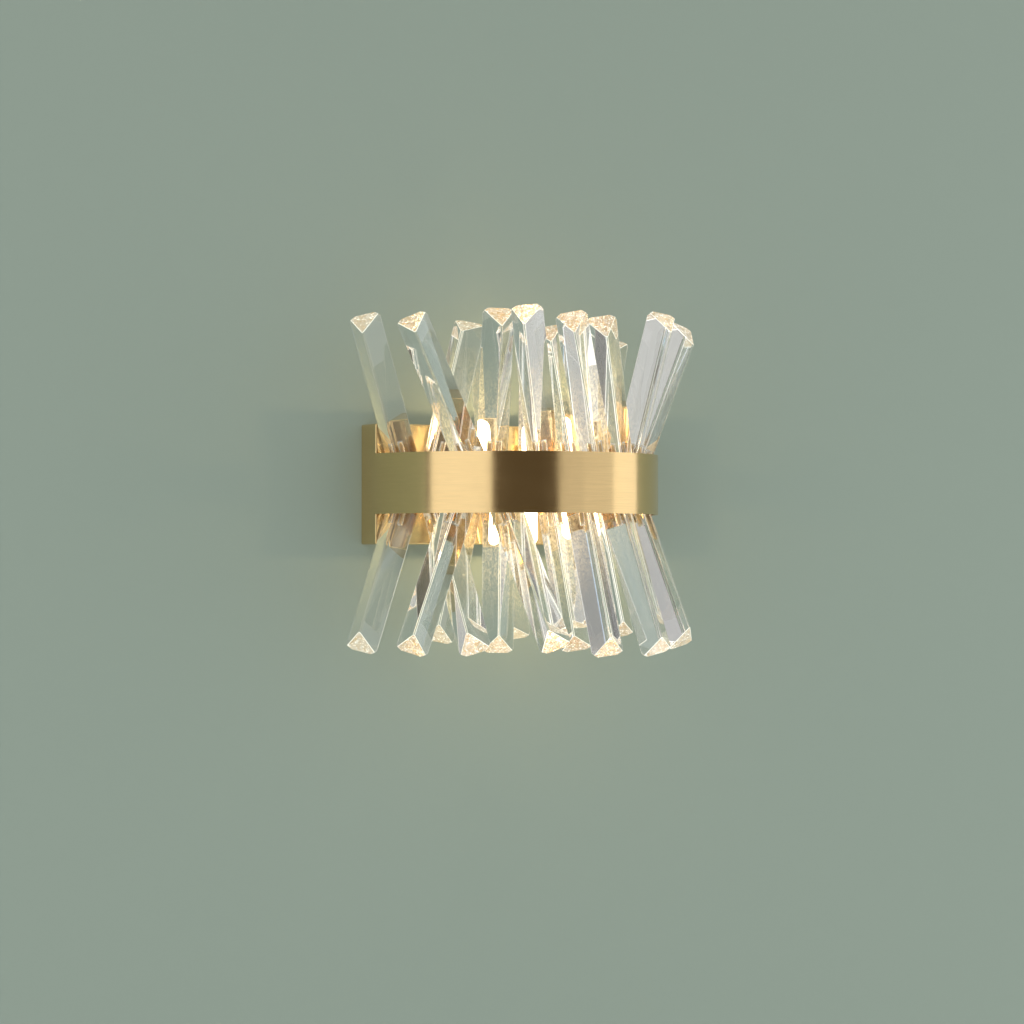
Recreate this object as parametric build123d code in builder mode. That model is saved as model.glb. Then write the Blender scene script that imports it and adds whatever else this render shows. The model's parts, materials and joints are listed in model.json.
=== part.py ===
"""Crystal wall sconce: a half-round metal band on a box backplate, with leaning
crystal prisms standing up and hanging down behind the band, round a pair of
pin-base capsule lamps.

Frame: the origin is the centre of the wall screw pattern on the wall plane,
+X to the right, -Y out into the room, +Z up. Millimetres.
"""

from build123d import *
import math
import os

os.makedirs("parts", exist_ok=True)

# ---------------------------------------------------------------- driving sizes
# clearances
SLIP = 0.05  # radial, round a shank that passes through a nut
GLUE_GAP = 0.2  # radial, round the metal insert in a crystal
HOLE_GAP = 0.3  # radial, round a screw, tube or lead in a drilled hole
SEAT_GAP = 0.3  # beside pieces that sit next to each other

# crystal prisms
CRYSTAL_SIDE = 28.0  # face width, edge to edge
CRYSTAL_GAP = 2.0  # added to the face width to give the pitch of the rows
EDGE_FLAT = 1.5  # width of the polished flat along each long edge
END_DROP = 13.0  # how far the end facet falls towards the front edge
CORNER_RISE = 6.0  # height of the two bevels at the rear corners of the end
CORNER_ANGLE = 40.0
BORE_R = 3.0
BORE_DEPTH = 18.0
INSERT_LENGTH = 16.0

# band
BAND_HEIGHT = 50.0
BAND_WALL = 1.5
OUTER_ROW = 3.65  # outermost row of crystals, in pitches from the ring's centre
TAB_LENGTH = 22.0  # the band's ends, folded in against the backplate
TAB_HEIGHT = 22.0

# backplate
PLATE_HEIGHT = 100.0
PLATE_DEPTH = 30.0
PLATE_WALL = 1.2
PLATE_INSET = 3.0  # the band stands this far past the backplate at each side
PLATE_FOLD_R = 1.5

# carriers: the two half-round plates inside the band
CARRIER_FACE = 9.0  # height of the face that the crystals stand on
CARRIER_WALL = 2.0
CRYSTAL_BASE = 17.0  # height of the middle of each crystal's inner end
FLANGE_HALF = 80.0
FLANGE_RISE = 12.0
FLANGE_SCREW_X = 60.0

# crystal fixings
SHANK_R = 2.0
BUSH_R = 6.0
WASHER_R = 4.2
WASHER_MID = 2.2
NUT_ACROSS = 7.0
NUT_HEIGHT = 2.2
STUD_END = 0.4  # thread that shows past the nut

# lamp pair
LAMP_REACH = 40.0  # backplate front to the lamp axis
HOLDER = (26.0, 14.0, 18.0)
HOLDER_CORNER_R = 3.0
HOLDER_SCREW_X = 10.0
HOLDER_SCREW_R = 1.5
HOLDER_HEAD_R = 2.6
HOLDER_HEAD = 2.0
HOLDER_NUT_ACROSS = 5.5
WEB_WALL = 1.5
WINDOW_R = 17.0
PINCH = (13.4, 5.2)  # flat glass base of the capsule
PINCH_DEPTH = 9.0  # how deep it sits in the holder
CAPSULE_R = 6.5
CAPSULE_WALL = 0.9
CAPSULE_LENGTH = 32.0  # glass above the holder
PIN_PITCH = 9.0
PIN_LOOP = (2.6, 6.0)
PIN_WIRE = 0.8
FILAMENT_R = 0.7
FILAMENT_LENGTH = 7.0
FILAMENT_RISE = 15.0
SUPPORT_R = 0.3

# tube arm
TUBE_R = 5.0
TUBE_WALL = 1.0
TUBE_INSIDE = 6.0  # length behind the backplate's front
ARM_NUT_ACROSS = 13.0
ARM_NUT_HEIGHT = 3.0
TAB_TO_LAMP = 22.0  # bracket tab's rear face to the lamp axis
BRACKET_HALF_X = 11.0
BRACKET_HALF_Z = 6.5
BRACKET_CORNER_R = 2.0
BRACKET_NOTCH_GAP = 0.6  # in front of the tube's end

# screws and inserts
SCREW_R = 1.5  # flush screws and the pan screws of the carriers
CSK_R = 2.85  # head of the flush screws
PAN_RATIO = 1.9  # pan head to shank, radius
PAN_HEIGHT_RATIO = 1.2  # pan head's height to the shank's radius
RIVNUT_R = 2.5
RIVNUT_HEAD_R = 3.8
RIVNUT_HEAD = 0.6
RIVNUT_LENGTH = 9.0
SCREW_REACH = 8.0  # shank below the head

# strap on the wall
STRAP_HALF_X = 75.0
STRAP_HALF_Z = 20.0
STRAP_WALL = 2.0
TONGUE_HALF = 14.0
LUG_DEPTH = 20.0
SLOT_X = 60.0
SLOT_LENGTH = 14.0
SLOT_R = 2.5
CABLE_HOLE_R = 11.0
GROMMET_R = 7.0
GROMMET_LENGTH = 5.0
GROMMET_LIP = 1.5
COVER_SCREW_Y = 12.0

# terminal block and leads
BLOCK = (22.0, 16.0, 30.0)
BLOCK_X = -41.0
BLOCK_WAY = 9.0  # pitch of its three ways
LEAD_R = 0.9
LEAD_PITCH = 2.1  # two leads stacked in one way
LEAD_IN = 3.0  # depth of a lead in its way or holder

# ---------------------------------------------------------------- derived sizes
PITCH = CRYSTAL_SIDE + CRYSTAL_GAP
CSK_HEIGHT = CSK_R - SCREW_R
CRYSTAL_R = CRYSTAL_SIDE / math.sqrt(3)
BAND_IN_R = OUTER_ROW * PITCH + CRYSTAL_SIDE / 2
BAND_OUT_R = BAND_IN_R + BAND_WALL
BAND_HALF = BAND_HEIGHT / 2
PLATE_HALF_X = BAND_OUT_R - PLATE_INSET
PLATE_HALF_Z = PLATE_HEIGHT / 2
FRONT_Y = -PLATE_DEPTH
LAMP_Y = FRONT_Y - LAMP_REACH
CARRIER_UNDER = CARRIER_FACE - CARRIER_WALL
FLANGE_SCREW_Z = CARRIER_FACE + FLANGE_RISE / 2
CARRIER_R = BAND_IN_R - SEAT_GAP
CARRIER_REAR_Y = FRONT_Y - BAND_WALL - SEAT_GAP - 0.2
TAB_SCREW_X = BAND_IN_R - TAB_LENGTH / 2 - 1.0
STRAP_HALF_LUG = PLATE_HALF_Z - PLATE_WALL
BRACKET_REAR_Y = LAMP_Y + TAB_TO_LAMP
TUBE_FRONT_Y = BRACKET_REAR_Y - WEB_WALL - ARM_NUT_HEIGHT - 0.5
NUT_NOTCH_X = ARM_NUT_ACROSS / math.sqrt(3) + SEAT_GAP
HOLDER_BASE = WEB_WALL / 2
HOLDER_TOP = HOLDER_BASE + HOLDER[2]
PINCH_BASE = HOLDER_TOP - PINCH_DEPTH

# ---------------------------------------------------------------- crystal layout
# Row is the distance of the crystal's axis from the ring's centre at the band's
# rim, in pitches. Arc is the direction of that point: 0 to the right, 90 out into
# the room, 180 to the left. Along leans the crystal towards a larger arc, out
# leans it away from the centre, edge is the direction that its front edge faces.
#             row   arc  along out edge length
UPPER = (
    (3.65, 171, 1, 17, 128, 126.0),
    (3.58, 134, 19, 15, 120, 128.0),
    (2.95, 157, -6, -13, 128, 122.0),
    (1.00, 143, 3, 2, 112, 110.0),
    (2.80, 124, -4, 8, 106, 126.0),
    (3.55, 101, 9, 10, 125, 128.0),
    (0.80, 52, 3, 2, 65, 106.0),
    (3.60, 74, 18, 5, 116, 126.0),
    (2.65, 77, 10, -3, 112, 114.0),
    (3.55, 58, 19, 4, 108, 124.0),
    (2.45, 38, -8, 8, 110, 108.0),
    (3.55, 42, 3, 15, 86, 128.0),
    (3.65, 23, 2, 20, 70, 124.0),
    (3.65, 8, 2, 14, 60, 122.0),
)
LOWER = (
    (3.65, 171, 2, 18, 128, 126.0),
    (3.60, 139, 13, 15, 120, 128.0),
    (1.85, 158, 5, 12, 118, 116.0),
    (2.90, 157, -22, 3, 122, 130.0),
    (2.25, 122, 0, 5, 112, 122.0),
    (0.90, 138, -6, -7, 118, 114.0),
    (3.58, 116, -20, 14, 118, 128.0),
    (2.80, 89, -8, 5, 118, 122.0),
    (3.55, 80, -4, 12, 102, 126.0),
    (2.60, 44, -4, 10, 100, 112.0),
    (3.55, 56, -8, 14, 96, 128.0),
    (3.65, 24, 2, 19, 80, 124.0),
    (3.65, 8, -2, 14, 64, 122.0),
)
# spacers between the carriers: X, and distance in front of the backplate
SPACERS = ((-61.0, 43.0), (-26.0, 80.0), (28.0, 44.0), (58.0, 14.0))
SPACER_R = 4.0


QUARTER = 90.0  # turn from outward to along the ring


def unit(arc):
    """Level direction at an arc angle, turned from +X out towards the room."""
    turn = math.radians(arc)
    return Vector(math.cos(turn), -math.sin(turn), 0)


def crystal_plane(up, row, arc, along, out, edge):
    """Plane on the inner end of a crystal: z along it, x towards its front edge."""
    lean = unit(arc) * math.tan(math.radians(out)) + unit(arc + QUARTER) * math.tan(math.radians(along))
    axis = lean + Vector(0, 0, up)
    rim = Vector(0, FRONT_Y, up * BAND_HALF) + unit(arc) * (row * PITCH)
    base = rim - axis * (BAND_HALF - CRYSTAL_BASE)
    face = unit(edge) - axis * (unit(edge).dot(axis) / axis.dot(axis))
    return Plane(origin=base, x_dir=face, z_dir=axis)


def tilt(plane):
    """How much longer a level gap is along the crystal than straight up."""
    return 1 / abs(plane.z_dir.Z)


def cut_plane(plane, at, normal):
    """Plane through a local point of another plane, with a local normal."""
    start = plane.from_local_coords(Vector(*at))
    tip = plane.from_local_coords(Vector(*at) + Vector(*normal))
    return Plane(origin=start, z_dir=tip - start)


def level_plane(height, up):
    """Level plane whose normal points away from the middle of the light."""
    return Plane(origin=(0, 0, up * height), z_dir=(0, 0, up))


places = []
for up, word, table in ((1, "upper", UPPER), (-1, "lower", LOWER)):
    for number, (row, arc, along, out, edge, length) in enumerate(table, start=1):
        plane = crystal_plane(up, row, arc, along, out, edge)
        places.append((up, f"crystal_{word}_{number:02d}", plane, length))


def save(built, label):
    built.part.label = label
    export_step(built.part, f"parts/{label}.step")


# ---------------------------------------------------------------- crystals
def crystal(plane, length):
    """Triangular prism with flats along its edges, a falling end facet and two
    bevelled rear corners, drilled from its inner end for the metal insert."""
    corners = [(CRYSTAL_R * math.cos(t), CRYSTAL_R * math.sin(t)) for t in (0, math.tau / 3, -math.tau / 3)]
    rear = -CRYSTAL_R / 2
    slope = (END_DROP, 0, CRYSTAL_R - rear)
    tip = math.radians(CORNER_ANGLE)
    with BuildPart() as prism:
        with BuildSketch(plane):
            with BuildLine():
                Polyline(*corners, close=True)
            make_face()
            chamfer(vertices(), length=EDGE_FLAT)
        extrude(amount=length)
        split(bisect_by=cut_plane(plane, (rear, 0, length), slope), keep=Keep.BOTTOM)
        for turn in (math.tau / 3, -math.tau / 3):
            x, y = math.cos(turn), math.sin(turn)
            corner = (CRYSTAL_R * x, CRYSTAL_R * y, length - CORNER_RISE)
            bevel = (x * math.cos(tip), y * math.cos(tip), math.sin(tip))
            split(bisect_by=cut_plane(plane, corner, bevel), keep=Keep.BOTTOM)
        with BuildSketch(plane):
            Circle(BORE_R)
        extrude(amount=BORE_DEPTH, mode=Mode.SUBTRACT)
    return prism


for up, label, plane, length in places:
    save(crystal(plane, length), label)

# ---------------------------------------------------------------- crystal fixings
with BuildPart() as crystal_studs:
    for up, label, plane, length in places:
        reach = (CRYSTAL_BASE - CARRIER_UNDER) * tilt(plane) + WASHER_MID + NUT_HEIGHT + STUD_END
        with BuildSketch(plane):
            Circle(BORE_R - GLUE_GAP)
        extrude(amount=INSERT_LENGTH)
        with BuildSketch(plane):
            Circle(SHANK_R)
        extrude(amount=-reach)
save(crystal_studs, "crystal_studs")

bushes = []
washers = []
for up, label, plane, length in places:
    with BuildPart() as bush:
        with BuildSketch(plane):
            Circle(BUSH_R)
            Circle(SHANK_R + HOLE_GAP, mode=Mode.SUBTRACT)
        extrude(amount=-2 * CRYSTAL_BASE)
        split(bisect_by=level_plane(CARRIER_FACE, up), keep=Keep.TOP)
    bushes.append(bush.part)
    under = (CRYSTAL_BASE - CARRIER_UNDER) * tilt(plane)
    with BuildPart() as washer:
        with BuildSketch(plane.offset(-under - WASHER_MID)):
            Circle(WASHER_R)
            Circle(SHANK_R + HOLE_GAP, mode=Mode.SUBTRACT)
        extrude(amount=WASHER_MID + WASHER_R)
        split(bisect_by=level_plane(CARRIER_UNDER, up), keep=Keep.BOTTOM)
    washers.append(washer.part)

with BuildPart() as seat_bushes:
    add(bushes)
save(seat_bushes, "seat_bushes")

with BuildPart() as wedge_washers:
    add(washers)
save(wedge_washers, "wedge_washers")

with BuildPart() as stud_nuts:
    for up, label, plane, length in places:
        under = (CRYSTAL_BASE - CARRIER_UNDER) * tilt(plane)
        with BuildSketch(plane.offset(-under - WASHER_MID)):
            RegularPolygon(NUT_ACROSS / 2, 6, major_radius=False)
            Circle(SHANK_R + SLIP, mode=Mode.SUBTRACT)
        extrude(amount=-NUT_HEIGHT)
save(stud_nuts, "stud_nuts")


# ---------------------------------------------------------------- carriers
def carrier(up):
    """Half-round plate with a folded flange at its rear, a window round the
    lamp holder and a slanted hole under each crystal."""
    face = level_plane(CARRIER_UNDER, up)
    top = up * (CARRIER_FACE + FLANGE_RISE)
    with BuildPart() as plate:
        with BuildSketch(Plane.XY.offset(up * CARRIER_UNDER)):
            with BuildLine():
                half = math.sqrt(CARRIER_R**2 - (CARRIER_REAR_Y - FRONT_Y) ** 2)
                Line((-half, CARRIER_REAR_Y), (half, CARRIER_REAR_Y))
                ThreePointArc((half, CARRIER_REAR_Y), (0, FRONT_Y - CARRIER_R), (-half, CARRIER_REAR_Y))
            make_face()
            with Locations((0, LAMP_Y)):
                Circle(WINDOW_R, mode=Mode.SUBTRACT)
            with Locations(*[(x, FRONT_Y - y) for x, y in SPACERS]):
                Circle(SCREW_R + HOLE_GAP, mode=Mode.SUBTRACT)
        extrude(amount=up * CARRIER_WALL)
        with BuildSketch(Plane.XZ.offset(-FRONT_Y)):
            with Locations((0, (up * CARRIER_UNDER + top) / 2)):
                Rectangle(2 * FLANGE_HALF, abs(top) - CARRIER_UNDER)
        extrude(amount=FRONT_Y - CARRIER_REAR_Y)
        with BuildSketch(Plane.XZ.offset(-FRONT_Y)):
            with Locations(*[(x, up * FLANGE_SCREW_Z) for x in (-FLANGE_SCREW_X, FLANGE_SCREW_X)]):
                Circle(SCREW_R + HOLE_GAP)
        extrude(amount=FRONT_Y - CARRIER_REAR_Y, mode=Mode.SUBTRACT)
        corner = Vector(0, CARRIER_REAR_Y, up * CARRIER_FACE)
        fillet(edges().filter_by(Axis.X).sort_by_distance(corner)[0], radius=CARRIER_WALL / 2)
        for side, label, plane, length in places:
            if side == up:
                with BuildSketch(plane):
                    Circle(SHANK_R + HOLE_GAP)
                extrude(amount=-(CRYSTAL_BASE + 2), mode=Mode.SUBTRACT)
        for x, y in SPACERS:
            with BuildSketch(Plane(origin=(x, FRONT_Y - y, up * CARRIER_FACE), z_dir=(0, 0, up))):
                Circle(CSK_R + SLIP)
            extrude(amount=-CSK_HEIGHT, taper=45, mode=Mode.SUBTRACT)
    return plate


save(carrier(1), "upper_carrier")
save(carrier(-1), "lower_carrier")

with BuildPart() as carrier_spacers:
    with BuildSketch(Plane.XY.offset(-CARRIER_UNDER)):
        with Locations(*[(x, FRONT_Y - y) for x, y in SPACERS]):
            Circle(SPACER_R)
            Circle(SCREW_R + SLIP, mode=Mode.SUBTRACT)
    extrude(amount=2 * CARRIER_UNDER)
save(carrier_spacers, "carrier_spacers")


# ---------------------------------------------------------------- band
with BuildPart() as band:
    with BuildSketch(Plane.XY.offset(-BAND_HALF)):
        with BuildLine():
            Line((-BAND_OUT_R, FRONT_Y), (-BAND_IN_R, FRONT_Y))
            ThreePointArc((-BAND_IN_R, FRONT_Y), (0, FRONT_Y - BAND_IN_R), (BAND_IN_R, FRONT_Y))
            Line((BAND_IN_R, FRONT_Y), (BAND_OUT_R, FRONT_Y))
            ThreePointArc((BAND_OUT_R, FRONT_Y), (0, FRONT_Y - BAND_OUT_R), (-BAND_OUT_R, FRONT_Y))
        make_face()
    extrude(amount=BAND_HEIGHT)
    with BuildSketch(Plane.XZ.offset(-FRONT_Y)):
        for side in (-1, 1):
            with Locations((side * (BAND_IN_R + BAND_WALL / 2 - TAB_LENGTH / 2), 0)):
                Rectangle(TAB_LENGTH, TAB_HEIGHT)
    extrude(amount=BAND_WALL)
    with BuildSketch(Plane.XZ.offset(BAND_WALL - FRONT_Y)):
        with Locations((-TAB_SCREW_X, 0), (TAB_SCREW_X, 0)):
            Circle(CSK_R + SLIP)
    extrude(amount=-CSK_HEIGHT, taper=45, mode=Mode.SUBTRACT)
    with BuildSketch(Plane.XZ.offset(BAND_WALL - FRONT_Y)):
        with Locations((-TAB_SCREW_X, 0), (TAB_SCREW_X, 0)):
            Circle(SCREW_R + HOLE_GAP)
    extrude(amount=-BAND_WALL, mode=Mode.SUBTRACT)
save(band, "band")


def cross(width, depth):
    """Outline of a cross recess for a screwdriver."""
    Rectangle(width, depth)
    Rectangle(depth, width)


with BuildPart() as countersunk_screws:
    heads = [Plane(origin=(side * TAB_SCREW_X, FRONT_Y - BAND_WALL, 0), z_dir=(0, -1, 0)) for side in (-1, 1)]
    for up in (1, -1):
        heads += [Plane(origin=(x, FRONT_Y - y, up * CARRIER_FACE), z_dir=(0, 0, up)) for x, y in SPACERS]
    for head in heads:
        with BuildSketch(head):
            Circle(CSK_R)
        extrude(amount=-CSK_HEIGHT, taper=45)
        with BuildSketch(head):
            Circle(SCREW_R)
        extrude(amount=-SCREW_REACH)
        with BuildSketch(head):
            cross(2.8, 0.7)
        extrude(amount=-0.9, mode=Mode.SUBTRACT)
save(countersunk_screws, "countersunk_screws")

# ---------------------------------------------------------------- backplate cover
rivet_spots = [(side * TAB_SCREW_X, 0) for side in (-1, 1)]
rivet_spots += [(x, up * FLANGE_SCREW_Z) for x in (-FLANGE_SCREW_X, FLANGE_SCREW_X) for up in (1, -1)]

with BuildPart() as backplate_cover:
    with BuildSketch(Plane.XZ):
        Rectangle(2 * PLATE_HALF_X, PLATE_HEIGHT)
    extrude(amount=PLATE_DEPTH)
    fillet(edges().filter_by(Axis.Y) + faces().sort_by(Axis.Y)[0].edges(), radius=PLATE_FOLD_R)
    with BuildSketch(Plane.XZ):
        RectangleRounded(
            2 * (PLATE_HALF_X - PLATE_WALL), PLATE_HEIGHT - 2 * PLATE_WALL, PLATE_FOLD_R - PLATE_WALL)
    extrude(amount=PLATE_DEPTH - PLATE_WALL, mode=Mode.SUBTRACT)
    with BuildSketch(Plane.XZ.offset(PLATE_DEPTH)):
        with Locations(*rivet_spots):
            Circle(RIVNUT_R)
        Circle(TUBE_R + HOLE_GAP)
    extrude(amount=-PLATE_WALL, mode=Mode.SUBTRACT)
    with BuildSketch(Plane.XY.offset(-PLATE_HALF_Z)):
        with Locations((0, -COVER_SCREW_Y)):
            Circle(SHANK_R + HOLE_GAP)
    extrude(amount=PLATE_HEIGHT, mode=Mode.SUBTRACT)
save(backplate_cover, "backplate_cover")

with BuildPart() as rivet_nuts:
    for x, z in rivet_spots:
        inside = Plane(origin=(x, FRONT_Y + PLATE_WALL, z), z_dir=(0, 1, 0))
        with BuildSketch(inside):
            Circle(RIVNUT_HEAD_R)
        extrude(amount=RIVNUT_HEAD)
        with BuildSketch(inside.offset(-PLATE_WALL)):
            Circle(RIVNUT_R)
        extrude(amount=RIVNUT_LENGTH)
        with BuildSketch(inside.offset(-PLATE_WALL)):
            Circle(SCREW_R + SLIP)
        extrude(amount=RIVNUT_LENGTH, mode=Mode.SUBTRACT)
save(rivet_nuts, "rivet_nuts")

def pan_screw(plane, shank, reach):
    """Pan head screw with a cross recess, its head standing on the plane."""
    height = PAN_HEIGHT_RATIO * shank
    with BuildPart() as screw:
        with BuildSketch(plane):
            Circle(PAN_RATIO * shank)
        extrude(amount=height)
        rim = edges().filter_by(GeomType.CIRCLE).sort_by_distance(plane.origin + plane.z_dir * 2 * height)[0]
        fillet(rim, radius=height / 2)
        with BuildSketch(plane):
            Circle(shank)
        extrude(amount=-reach)
        with BuildSketch(plane.offset(height)):
            cross(1.8 * shank, 0.4 * shank)
        extrude(amount=-height / 2, mode=Mode.SUBTRACT)
    return screw.part


with BuildPart() as carrier_screws:
    for x in (-FLANGE_SCREW_X, FLANGE_SCREW_X):
        for up in (1, -1):
            seat = Plane(origin=(x, CARRIER_REAR_Y, up * FLANGE_SCREW_Z), z_dir=(0, -1, 0))
            add(pan_screw(seat, SCREW_R, SCREW_REACH))
save(carrier_screws, "carrier_screws")

with BuildPart() as cover_screws:
    for up in (1, -1):
        seat = Plane(origin=(0, -COVER_SCREW_Y, up * PLATE_HALF_Z), z_dir=(0, 0, up))
        add(pan_screw(seat, SHANK_R, SCREW_REACH))
save(cover_screws, "cover_screws")

# ---------------------------------------------------------------- strap on the wall
EARTH_X = -12.0
EARTH_Z = -14.5
with BuildPart() as mounting_strap:
    with BuildSketch(Plane.XZ):
        Rectangle(2 * STRAP_HALF_X, 2 * STRAP_HALF_Z)
        Rectangle(2 * TONGUE_HALF, 2 * STRAP_HALF_LUG)
        fillet(vertices().group_by(Axis.X)[0] + vertices().group_by(Axis.X)[-1], radius=3)
        Circle(CABLE_HOLE_R, mode=Mode.SUBTRACT)
        with Locations((-SLOT_X, 0), (SLOT_X, 0)):
            SlotOverall(SLOT_LENGTH, 2 * SLOT_R, mode=Mode.SUBTRACT)
        with Locations((EARTH_X, EARTH_Z)):
            Circle(SHANK_R + SLIP, mode=Mode.SUBTRACT)
    extrude(amount=STRAP_WALL)
    for up in (1, -1):
        with BuildSketch(Plane.XZ):
            with Locations((0, up * (STRAP_HALF_LUG - STRAP_WALL / 2))):
                Rectangle(2 * TONGUE_HALF, STRAP_WALL)
        extrude(amount=LUG_DEPTH)
    with BuildSketch(Plane.XY.offset(-PLATE_HALF_Z)):
        with Locations((0, -COVER_SCREW_Y)):
            Circle(SHANK_R + SLIP)
    extrude(amount=PLATE_HEIGHT, mode=Mode.SUBTRACT)
save(mounting_strap, "mounting_strap")

with BuildPart() as cable_grommet:
    with BuildSketch(Plane.XZ):
        Circle(CABLE_HOLE_R)
    extrude(amount=STRAP_WALL)
    with BuildSketch(Plane.XZ.offset(STRAP_WALL)):
        Circle(CABLE_HOLE_R + GROMMET_LIP)
    extrude(amount=GROMMET_LENGTH - STRAP_WALL, taper=20)
    with BuildSketch(Plane.XZ):
        Circle(GROMMET_R)
    extrude(amount=GROMMET_LENGTH, mode=Mode.SUBTRACT)
save(cable_grommet, "cable_grommet")

# ---------------------------------------------------------------- tube arm
with BuildPart() as arm_tube:
    with BuildSketch(Plane.XZ.offset(-FRONT_Y - TUBE_INSIDE)):
        Circle(TUBE_R)
        Circle(TUBE_R - TUBE_WALL, mode=Mode.SUBTRACT)
    extrude(amount=FRONT_Y + TUBE_INSIDE - TUBE_FRONT_Y)
save(arm_tube, "arm_tube")

with BuildPart() as arm_nuts:
    seats = (FRONT_Y, FRONT_Y + PLATE_WALL + ARM_NUT_HEIGHT, BRACKET_REAR_Y + ARM_NUT_HEIGHT, BRACKET_REAR_Y - WEB_WALL)
    for y in seats:
        with BuildSketch(Plane.XZ.offset(-y)):
            RegularPolygon(ARM_NUT_ACROSS / 2, 6, major_radius=False)
            Circle(TUBE_R + SLIP, mode=Mode.SUBTRACT)
        extrude(amount=ARM_NUT_HEIGHT)
save(arm_nuts, "arm_nuts")

with BuildPart() as lamp_bracket:
    with BuildSketch(Plane.XZ.offset(-BRACKET_REAR_Y)):
        RectangleRounded(2 * BRACKET_HALF_X, 2 * BRACKET_HALF_Z, BRACKET_CORNER_R)
        Circle(TUBE_R + HOLE_GAP, mode=Mode.SUBTRACT)
    extrude(amount=WEB_WALL)
    with BuildSketch(Plane.XY.offset(-WEB_WALL / 2)):
        with Locations((0, LAMP_Y)):
            Rectangle(HOLDER[0], HOLDER[1])
            fillet(vertices(), radius=HOLDER_CORNER_R)
        with Locations((0, (BRACKET_REAR_Y + LAMP_Y) / 2)):
            Rectangle(2 * BRACKET_HALF_X, BRACKET_REAR_Y - LAMP_Y)
        with Locations((0, (BRACKET_REAR_Y + TUBE_FRONT_Y - BRACKET_NOTCH_GAP) / 2)):
            Rectangle(2 * NUT_NOTCH_X, BRACKET_REAR_Y - TUBE_FRONT_Y + BRACKET_NOTCH_GAP, mode=Mode.SUBTRACT)
        with Locations((-HOLDER_SCREW_X, LAMP_Y), (HOLDER_SCREW_X, LAMP_Y)):
            Circle(HOLDER_SCREW_R + HOLE_GAP, mode=Mode.SUBTRACT)
    extrude(amount=WEB_WALL)
save(lamp_bracket, "lamp_bracket")

# ---------------------------------------------------------------- lamp holders and leads
LEAD_X = 1.3  # leads in the tube, to each side of its axis
LEAD_Z = 2.2
HOLDER_LEAD_X = 4.0
HOLDER_LEAD_Z = 5.5
HOLDER_REAR_Y = LAMP_Y + HOLDER[1] / 2


def lampholder(up):
    """Ceramic holder with a pocket for the lamp's flat base, two pin slots, two
    screw holes and two lead holes in its rear."""
    base = level_plane(HOLDER_BASE, up)
    top = level_plane(HOLDER_TOP, up)
    with BuildPart() as body:
        with BuildSketch(base):
            with Locations(base.location.inverse() * Location((0, LAMP_Y, up * HOLDER_BASE))):
                Rectangle(HOLDER[0], HOLDER[1])
            fillet(vertices(), radius=HOLDER_CORNER_R)
        extrude(amount=HOLDER[2])
        chamfer(faces().sort_by(Axis.Z)[-1 if up > 0 else 0].outer_wire().edges(), length=0.8)
        with BuildSketch(Plane.XY.offset(up * HOLDER_TOP)):
            with Locations((0, LAMP_Y)):
                Rectangle(PINCH[0] + 2 * SEAT_GAP, PINCH[1] + 2 * SEAT_GAP)
        extrude(amount=-up * (PINCH_DEPTH + SEAT_GAP), mode=Mode.SUBTRACT)
        with BuildSketch(Plane.XY.offset(up * HOLDER_TOP)):
            with Locations((-PIN_PITCH / 2, LAMP_Y), (PIN_PITCH / 2, LAMP_Y)):
                Rectangle(PIN_LOOP[0] + 2 * SEAT_GAP, PIN_WIRE + 2 * SEAT_GAP)
        extrude(amount=-up * (PINCH_DEPTH + PIN_LOOP[1] + 1), mode=Mode.SUBTRACT)
        with BuildSketch(Plane.XY.offset(up * HOLDER_BASE)):
            with Locations((-HOLDER_SCREW_X, LAMP_Y), (HOLDER_SCREW_X, LAMP_Y)):
                Circle(HOLDER_SCREW_R + HOLE_GAP)
        extrude(amount=up * HOLDER[2], mode=Mode.SUBTRACT)
        with BuildSketch(Plane.XZ.offset(-HOLDER_REAR_Y)):
            with Locations((-HOLDER_LEAD_X, up * HOLDER_LEAD_Z), (HOLDER_LEAD_X, up * HOLDER_LEAD_Z)):
                Circle(LEAD_R + HOLE_GAP)
        extrude(amount=LEAD_IN + SEAT_GAP, mode=Mode.SUBTRACT)
    return body


save(lampholder(1), "upper_lampholder")
save(lampholder(-1), "lower_lampholder")

with BuildPart() as lampholder_screws:
    for x in (-HOLDER_SCREW_X, HOLDER_SCREW_X):
        spot = Plane(origin=(x, LAMP_Y, HOLDER_TOP), z_dir=(0, 0, 1))
        with BuildSketch(spot):
            Circle(HOLDER_HEAD_R)
        extrude(amount=HOLDER_HEAD)
        fillet(edges().filter_by(GeomType.CIRCLE).group_by(Axis.Z)[-1], radius=HOLDER_HEAD / 2)
        with BuildSketch(spot):
            Circle(HOLDER_SCREW_R)
        extrude(amount=-2 * HOLDER_TOP - HOLDER_HEAD - STUD_END)
        with BuildSketch(spot.offset(HOLDER_HEAD)):
            Rectangle(2 * HOLDER_HEAD_R, 0.8)
        extrude(amount=-HOLDER_HEAD / 2, mode=Mode.SUBTRACT)
    with BuildSketch(Plane.XY.offset(-HOLDER_TOP)):
        with Locations((-HOLDER_SCREW_X, LAMP_Y), (HOLDER_SCREW_X, LAMP_Y)):
            RegularPolygon(HOLDER_NUT_ACROSS / 2, 6, major_radius=False)
            Circle(HOLDER_SCREW_R + SLIP, mode=Mode.SUBTRACT)
    extrude(amount=-HOLDER_HEAD)
save(lampholder_screws, "lampholder_screws")


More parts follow.
